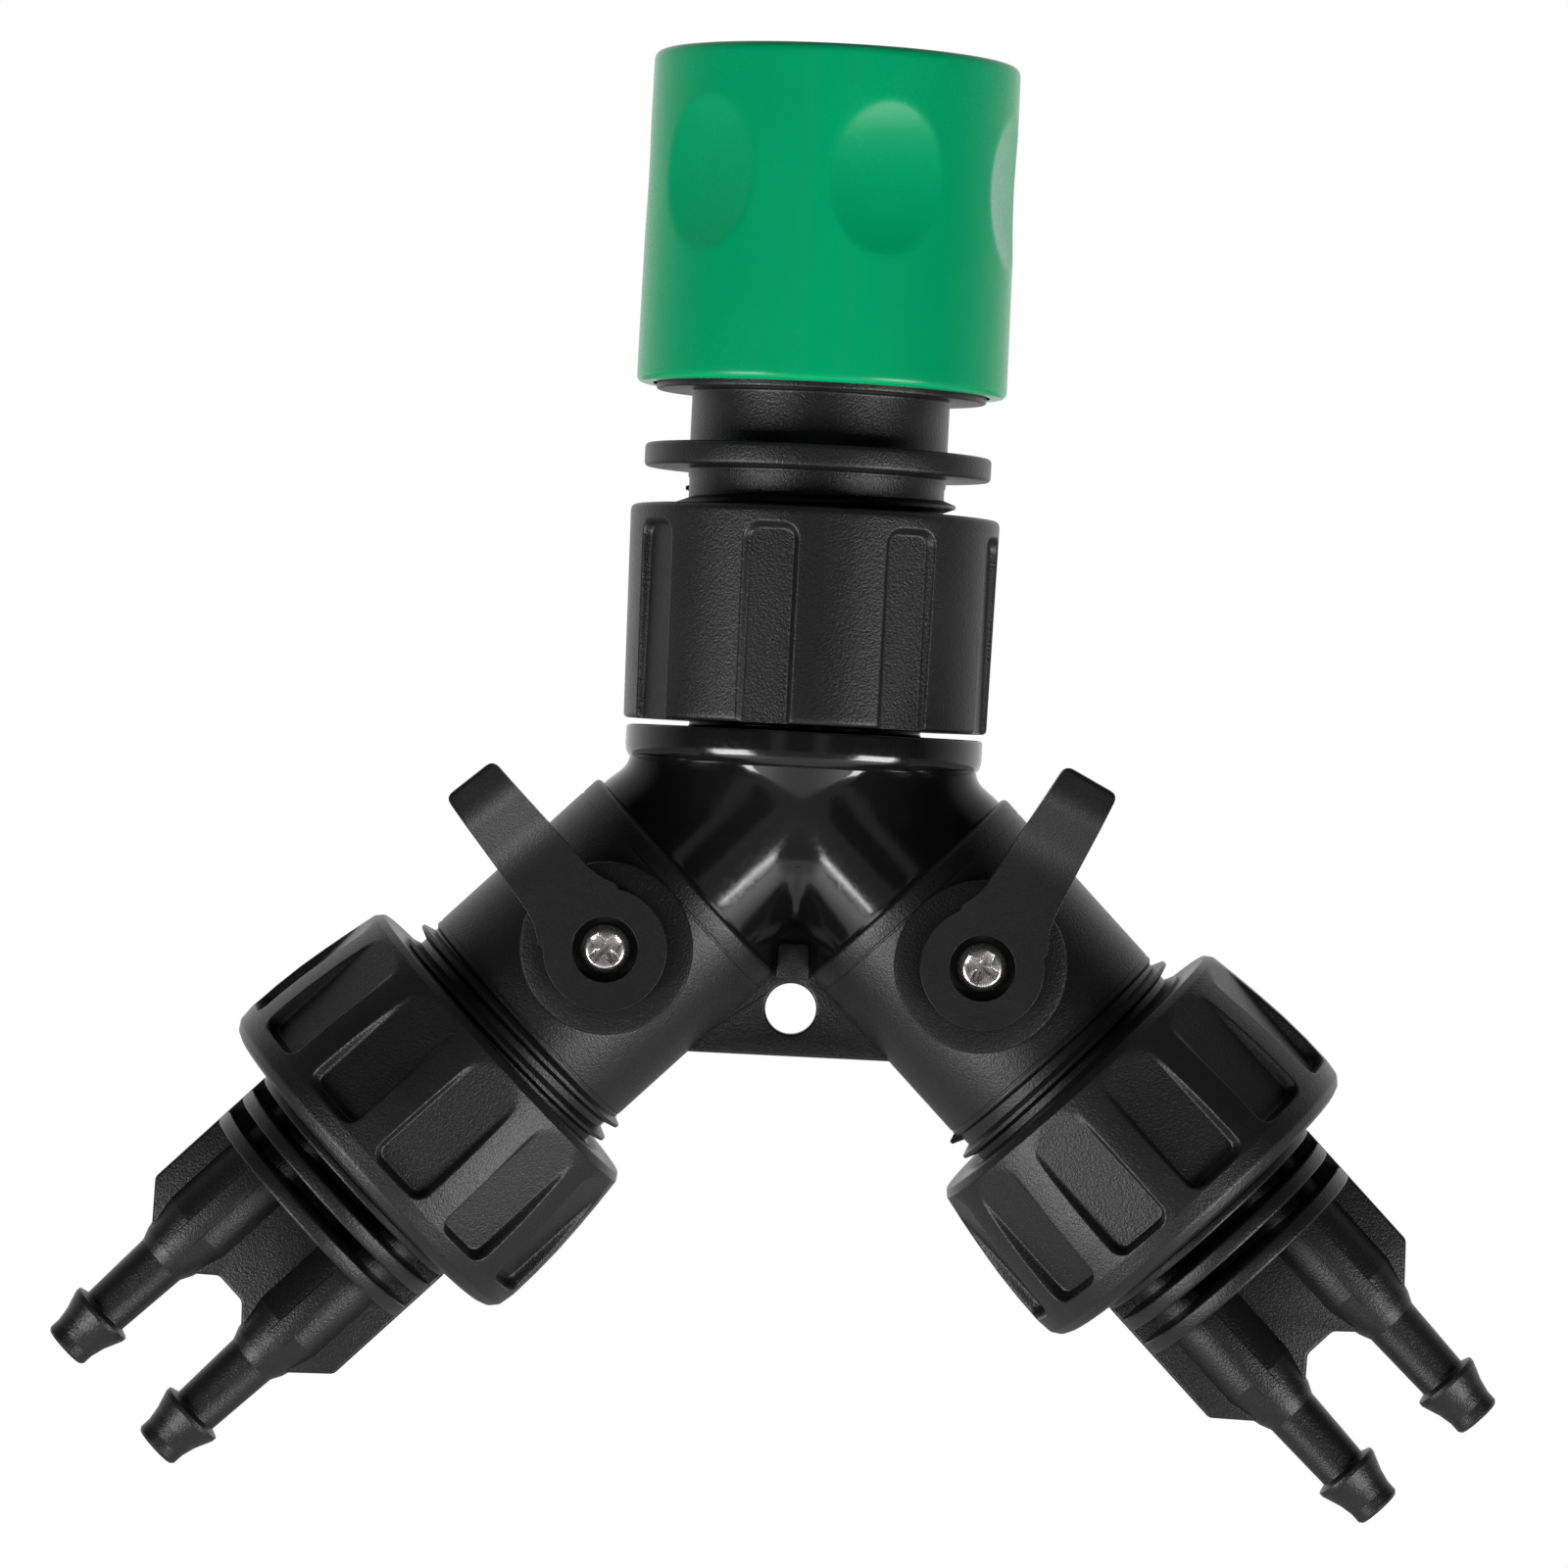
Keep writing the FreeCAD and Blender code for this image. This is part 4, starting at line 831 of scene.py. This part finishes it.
def make_connector(material):
    """Hose socket: threaded spigot, wrench flange, spring seat and barrel."""
    outline = rounded([
        (7.5, 12.6), (11.36, 12.6, 0.2), (12.06, 13.3), (12.06, 27.0), (12.175, 27.3),
        (12.175, 28.0, 0.3), (16.375, 28.0, 0.45), (16.375, 30.2, 0.45), (12.175, 30.2, 0.3),
        (12.175, 35.3, 0.3), (15.6, 35.3, 0.3), (15.6, 36.5, 0.3), (12.2, 36.5), (12.2, 48.0),
        (10.6, 48.0), (10.6, 58.0, 0.3), (8.6, 58.0, 0.4), (8.6, 46.05), (10.15, 46.05),
        (10.15, 44.35), (8.6, 44.35), (8.6, 41.0), (7.5, 41.0)], 4)
    body = turned("hose_socket", outline, 160)
    return grow(body, "thread", start=13.7, turns=12.6 / THREAD["pitch"], phase=180.0,
                material=material, **THREAD)


def make_lever(side, sizes):
    """Cranked lever with a round hub, screw well and square drive socket."""
    hub = turned(side + "_handle", rounded([
        (0, 13.5), (5.7, 13.5, 0.2), (5.7, 18.5), (0, 18.5)], 4), 96)
    view = prism("view", rounded([
        (0, 14.6), (9.5, 14.6, 4.0), (13.4, 17.3, 1.0), (16.2, 18.9, 3.0), (20, 18.9, 0.4),
        (20, 22, 0.6), (17, 22, 5.0), (11.8, 18.5, 7.0), (0, 18.5)], 7), -6, 6)
    plan = [(0, -3.6)] + rounded([(5, -3.4), (20, -2.75, 0.9), (20, 2.75, 0.9), (5, 3.4)],
                                 4)[1:-1] + [(0, 3.6)]
    for sign in (-1, 1):
        arc = []
        for k in range(7):
            t = k / 6
            reach = 4.2 + 3.6 * t
            arc.append((reach, sign * (3.43 + 1.1 * (1 - t) ** 2)))
        plan = plan[:1] + arc + plan[1:] if sign < 0 else plan[:-1] + arc[::-1] + plan[-1:]
    arm = prism("arm", plan, 12, 23, axis="Z")
    combine(view, arm, "INTERSECT")
    combine(hub, view)
    combine(hub, rod("well", 3.05, 16.3, 19.5), "DIFFERENCE")
    combine(hub, rod("hole", 1.45, 12, 18), "DIFFERENCE")
    square = prism("square", [(-2.25, -2.25), (2.25, -2.25), (2.25, 2.25), (-2.25, 2.25)],
                   12.6, 15.35, axis="Z")
    combine(hub, square, "DIFFERENCE")
    soften(hub, sizes.edge, 3, 28)
    lug = prism("lug", [(4.3, -0.75), (5.1, -0.75), (5.1, 0.75), (4.3, 0.75)], 12.6, 14.0,
                axis="Z")
    return merge(side + "_handle", [hub, soften(lug, 0.12, 2)])


def make_screw(side):
    """Pan-head screw with a cross recess."""
    head = turned(side + "_pan_screw", rounded([
        (0, 9.9), (1.25, 9.9, 0.2), (1.25, 16.32), (2.3, 16.32), (2.3, 17.1, 0.25),
        (1.7, 17.75, 0.5), (0, 17.85)], 5), 64)
    for turn in (0, 90):
        slot = prism("slot", [(-1.68, -0.46), (-0.6, -0.58), (0.6, -0.58), (1.68, -0.46),
                              (1.68, 0.46), (0.6, 0.58), (-0.6, 0.58), (-1.68, 0.46)],
                     16.4, 17.9, axis="Z")
        for point in slot.data.vertices:
            if point.co.z < 17:
                point.co = (point.co.x * 0.8, point.co.y * 0.6, point.co.z)
        combine(head, move(slot, Matrix.Rotation(math.radians(turn), 4, "Z")), "DIFFERENCE")
    return soften(head, 0.07, 2, 40)


def make_adapter(side, sizes, material):
    """Twin-barb adapter: sealing plug, three discs, web plate and two ducts."""
    plug = turned(side + "_twin_barb", rounded([
        (8.2, 51.4), (11.1, 51.4, 0.3), (11.1, 53.2), (10.05, 53.2), (10.05, 56.4),
        (12.55, 56.4, 0.25), (12.55, 57.3, 0.25), (8.2, 57.3)], 3), 144)
    parts = [plug]
    for low in (58.6, 61.6):
        parts.append(turned("disc", rounded([
            (0, low), (12.55, low, 0.3), (12.55, low + 1.45, 0.3), (0, low + 1.45)], 3), 144))
    plate = prism("plate", [(-12.55, 56.9), (12.55, 56.9), (12.55, 71), (8.9, 74.8), (3.7, 74.8),
                            (1.6, 72.8), (-1.6, 72.8), (-3.7, 74.8), (-8.9, 74.8),
                            (-12.55, 71)], -1.3, 1.3)
    parts.append(soften(plate, sizes.edge))
    duct = turned("duct", rounded([
        (1.5, 56.6), (3.95, 56.6), (3.95, 71.2, 0.6), (3.1, 74.8, 0.4), (2.6, 75.9, 0.5),
        (2.38, 83.1, 0.15), (3.25, 83.4, 0.12), (3.25, 83.85, 0.3), (2.6, 85.6, 2.0),
        (2.33, 86.9, 0.8), (2.33, 87.9), (2.1, 88.2, 0.15), (1.5, 88.2, 0.1)], 5), 96)
    land = prism("land", [(-1, 57.4), (1, 57.4), (1, 72.9), (-1, 72.9)], -4.35, 4.35)
    both = merge("duct", [duct, soften(land, 0.2, 2)])
    grow(both, "pair", offset=6.35, material=material)
    parts.append(both)
    return merge(side + "_twin_barb", parts)


def duplicate(node, name):
    """A plain copy of a CAD solid, in metres."""
    item = bpy.data.objects.new(name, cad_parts[node].data.copy())
    bpy.context.scene.collection.objects.link(item)
    return item


def copied(node, name, edge):
    """A cleaned, softly edged copy of a CAD solid."""
    item = move(duplicate(node, name), Matrix.Scale(1000, 4))
    soften(item, edge, 2)
    return move(item, Matrix.Scale(0.001, 4))


# ------------------------------------------------------------------ operators

class SplitterStep:
    """Shared base of the building steps."""

    bl_options = {"REGISTER"}

    @property
    def sizes(self):
        return bpy.context.scene.splitter_sizes


class SPLITTER_OT_core(SplitterStep, bpy.types.Operator):
    """Builds the glossy forked core with its collar and neck"""

    bl_idname = "splitter.core"
    bl_label = "Forked core"

    def execute(self, context):
        core = move(make_core(self.sizes), column_place())
        finish(core, paints()["gloss_black"], "splitter", ["splitter_body"], 50)
        return {"FINISHED"}


class SPLITTER_OT_housings(SplitterStep, bpy.types.Operator):
    """Builds both valve housings with their bosses and threaded spigots"""

    bl_idname = "splitter.housings"
    bl_label = "Valve housings"

    def execute(self, context):
        for side in SIDES:
            material = paints()["satin_black"]
            body = move(make_housing(side, material), arm_place(side))
            finish(body, material, "splitter", ["splitter_body"], 30)
        return {"FINISHED"}


class SPLITTER_OT_tab(SplitterStep, bpy.types.Operator):
    """Builds the fixing tab between the arms"""

    bl_idname = "splitter.tab"
    bl_label = "Fixing tab"

    def execute(self, context):
        tab = move(make_tab(self.sizes), column_place())
        finish(tab, paints()["satin_black"], "splitter", ["splitter_body"])
        return {"FINISHED"}


class SPLITTER_OT_inlet_nut(SplitterStep, bpy.types.Operator):
    """Builds the fluted swivel nut under the hose socket"""

    bl_idname = "splitter.inlet_nut"
    bl_label = "Inlet nut"

    def execute(self, context):
        material = paints()["satin_black"]
        nut = move(make_inlet_nut(self.sizes, material), column_place())
        finish(nut, material, "inlet_nut", ["inlet_nut"], 60)
        return {"FINISHED"}


class SPLITTER_OT_connector(SplitterStep, bpy.types.Operator):
    """Builds the threaded hose socket and refines the claws and cap inside it"""

    bl_idname = "splitter.connector"
    bl_label = "Hose socket"

    def execute(self, context):
        material = paints()["satin_black"]
        body = move(make_connector(material), column_place())
        finish(body, material, "connector", ["connector_body"])
        cap = copied("claw_cap", "socket_cap", 0.2)
        finish(cap, material, "connector", ["claw_cap"])
        claws = copied("locking_claws", "socket_claws", 0.15)
        finish(claws, paints()["acetal"], "connector", ["locking_claws"])
        return {"FINISHED"}


class SPLITTER_OT_sleeve(SplitterStep, bpy.types.Operator):
    """Builds the green release sleeve with its finger dimples"""

    bl_idname = "splitter.sleeve"
    bl_label = "Release sleeve"

    def execute(self, context):
        material = paints()["sleeve_green"]
        sleeve = move(make_sleeve(self.sizes, material), column_place())
        finish(sleeve, material, "sleeve", ["release_sleeve"], 60)
        return {"FINISHED"}


class SPLITTER_OT_levers(SplitterStep, bpy.types.Operator):
    """Builds the valve levers and the plated screws that hold them"""

    bl_idname = "splitter.levers"
    bl_label = "Levers and screws"

    def execute(self, context):
        for side in SIDES:
            body = side + "_valve"
            lever = move(even_normals(make_lever(side, self.sizes)), valve_place(side))
            finish(lever, paints()["lever_black"], body, [side + "_lever"])
            screw = move(make_screw(side), valve_place(side))
            finish(screw, paints()["plated_steel"], body, [side + "_lever_screw"])
        return {"FINISHED"}


class SPLITTER_OT_outlet_nuts(SplitterStep, bpy.types.Operator):
    """Builds the pocketed union nuts on both outlets"""

    bl_idname = "splitter.outlet_nuts"
    bl_label = "Outlet nuts"

    def execute(self, context):
        for side in SIDES:
            material = paints()["satin_black"]
            nut = move(make_outlet_nut(side, self.sizes, material), arm_place(side))
            finish(nut, material, side + "_nut", [side + "_outlet_nut"], 60)
        return {"FINISHED"}


class SPLITTER_OT_adapters(SplitterStep, bpy.types.Operator):
    """Builds the twin-barb hose adapters"""

    bl_idname = "splitter.adapters"
    bl_label = "Barb adapters"

    def execute(self, context):
        for side in SIDES:
            material = paints()["satin_black"]
            piece = move(make_adapter(side, self.sizes, material), arm_place(side))
            finish(piece, material, side + "_adapter", [side + "_adapter"])
        return {"FINISHED"}


HIDDEN = {
    "acetal": ("_ball", "_stem"), "ptfe": ("_inner_seat", "_outer_seat"),
    "satin_black": ("_seat_retainer",),
    "seal_rubber": ("_stem_ring", "_outlet_washer", "inlet_washer", "nozzle_seal"),
}


class SPLITTER_OT_inner_parts(SplitterStep, bpy.types.Operator):
    """Gives the valve balls, seats, seals and spring their materials"""

    bl_idname = "splitter.inner_parts"
    bl_label = "Inner parts"

    def execute(self, context):
        for material, ends in HIDDEN.items():
            for name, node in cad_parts.items():
                if name.endswith(ends):
                    node.data.materials.clear()
                    node.data.materials.append(paints()[material])
        coil = duplicate("sleeve_spring", "pull_spring")
        finish(coil, paints()["plated_steel"], "connector", ["sleeve_spring"])
        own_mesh(coil)
        return {"FINISHED"}


def softbox(name, spot, target, width, height, power):
    light = bpy.data.lights.new(name, "AREA")
    light.shape = "RECTANGLE"
    light.size = width
    light.size_y = height
    light.energy = power
    item = bpy.data.objects.new(name, light)
    item.location = spot
    item.rotation_euler = (Vector(target) - Vector(spot)).to_track_quat("-Z", "Y").to_euler()
    bpy.context.scene.collection.objects.link(item)
    return item


def sky(front):
    """White behind the object and a dimmer room in front of it."""
    world = bpy.data.worlds.new("studio")
    world.use_nodes = True
    tree = world.node_tree
    back = tree.nodes["Background"]
    back.inputs["Color"].default_value = (1.0, 1.0, 1.0, 1.0)
    spot = tree.nodes.new("ShaderNodeTexCoord")
    split = tree.nodes.new("ShaderNodeSeparateXYZ")
    tree.links.new(spot.outputs["Generated"], split.inputs[0])
    ramp = tree.nodes.new("ShaderNodeMapRange")
    for key, value in (("From Min", -0.2), ("From Max", 0.75), ("To Min", front), ("To Max", 1.0)):
        ramp.inputs[key].default_value = value
    tree.links.new(split.outputs[1], ramp.inputs[0])
    ray = tree.nodes.new("ShaderNodeLightPath")
    pick = tree.nodes.new("ShaderNodeMix")
    tree.links.new(ray.outputs["Is Camera Ray"], pick.inputs[0])
    tree.links.new(ramp.outputs[0], pick.inputs[2])
    pick.inputs[3].default_value = 1.0
    tree.links.new(pick.outputs[0], back.inputs["Strength"])
    bpy.context.scene.world = world


class SPLITTER_OT_stage(SplitterStep, bpy.types.Operator):
    """Lays the pale floor and sets the softboxes and camera"""

    bl_idname = "splitter.stage"
    bl_label = "Stage"

    def execute(self, context):
        stage = context.scene.splitter_stage
        mesh = bmesh.new()
        bmesh.ops.create_circle(mesh, cap_ends=True, segments=128, radius=3.5)
        floor = link("pale_floor", mesh)
        floor.location.z = -stage.floor_drop
        floor.data.materials.append(floor_paint((0.86, 0.86, 0.85)))
        middle = (0.0, 0.0, -0.06)
        for name, sign in (("left_softbox", -1), ("right_softbox", 1)):
            softbox(name, (0.77 * sign, -0.66, -0.5), middle, 0.5, 0.42, stage.key)
        for name, x in (("left_strip", -0.37), ("right_strip", 0.25)):
            softbox(name, (x, -1.25, 0.1), middle, 0.2, 0.9, stage.key * 0.013)
        softbox("top_softbox", (0.0, -0.5, 1.2), middle, 1.0, 0.6, stage.key * 0.06)
        sky(stage.front)
        lens = bpy.data.cameras.new("camera")
        lens.sensor_width = 36.0
        lens.lens = 36.0 * stage.distance / 0.148148
        lens.clip_start = 0.01
        camera = bpy.data.objects.new("camera", lens)
        place = Matrix.Translation((-0.00169, -stage.distance, -0.05936))
        tilt = Matrix.Rotation(math.radians(90), 4, "X") @ Matrix.Rotation(stage.roll, 4, "Z")
        camera.matrix_world = place @ tilt
        context.scene.collection.objects.link(camera)
        context.scene.camera = camera
        context.scene.view_settings.view_transform = "Standard"
        return {"FINISHED"}


class SPLITTER_PT_panel(bpy.types.Panel):
    """Sidebar list of the sizes, colours and building steps"""

    bl_idname = "SPLITTER_PT_panel"
    bl_label = "Hose splitter"
    bl_space_type = "VIEW_3D"
    bl_region_type = "UI"
    bl_category = "Splitter"

    def draw(self, context):
        scene = context.scene
        for group in (scene.splitter_sizes, scene.splitter_colours, scene.splitter_stage):
            box = self.layout.box()
            for key in type(group).__annotations__:
                box.prop(group, key)
        for step in STEPS:
            self.layout.operator(step.bl_idname)


STEPS = (SPLITTER_OT_core, SPLITTER_OT_housings, SPLITTER_OT_tab, SPLITTER_OT_inlet_nut,
         SPLITTER_OT_connector, SPLITTER_OT_sleeve, SPLITTER_OT_levers, SPLITTER_OT_outlet_nuts,
         SPLITTER_OT_adapters, SPLITTER_OT_inner_parts, SPLITTER_OT_stage)
GROUPS = (("splitter_sizes", SplitterSizes), ("splitter_colours", SplitterColours),
          ("splitter_stage", SplitterStage))


def register():
    for name, group in GROUPS:
        bpy.utils.register_class(group)
        setattr(bpy.types.Scene, name, PointerProperty(type=group))
    for step in STEPS:
        bpy.utils.register_class(step)
    bpy.utils.register_class(SPLITTER_PT_panel)


def unregister():
    bpy.utils.unregister_class(SPLITTER_PT_panel)
    for step in reversed(STEPS):
        bpy.utils.unregister_class(step)
    for name, group in reversed(GROUPS):
        delattr(bpy.types.Scene, name)
        bpy.utils.unregister_class(group)


def main():
    """Registers the steps and builds every piece in order."""
    register()
    for step in STEPS:
        area, name = step.bl_idname.split(".")
        getattr(getattr(bpy.ops, area), name)()


if __name__ == "__main__":
    main()
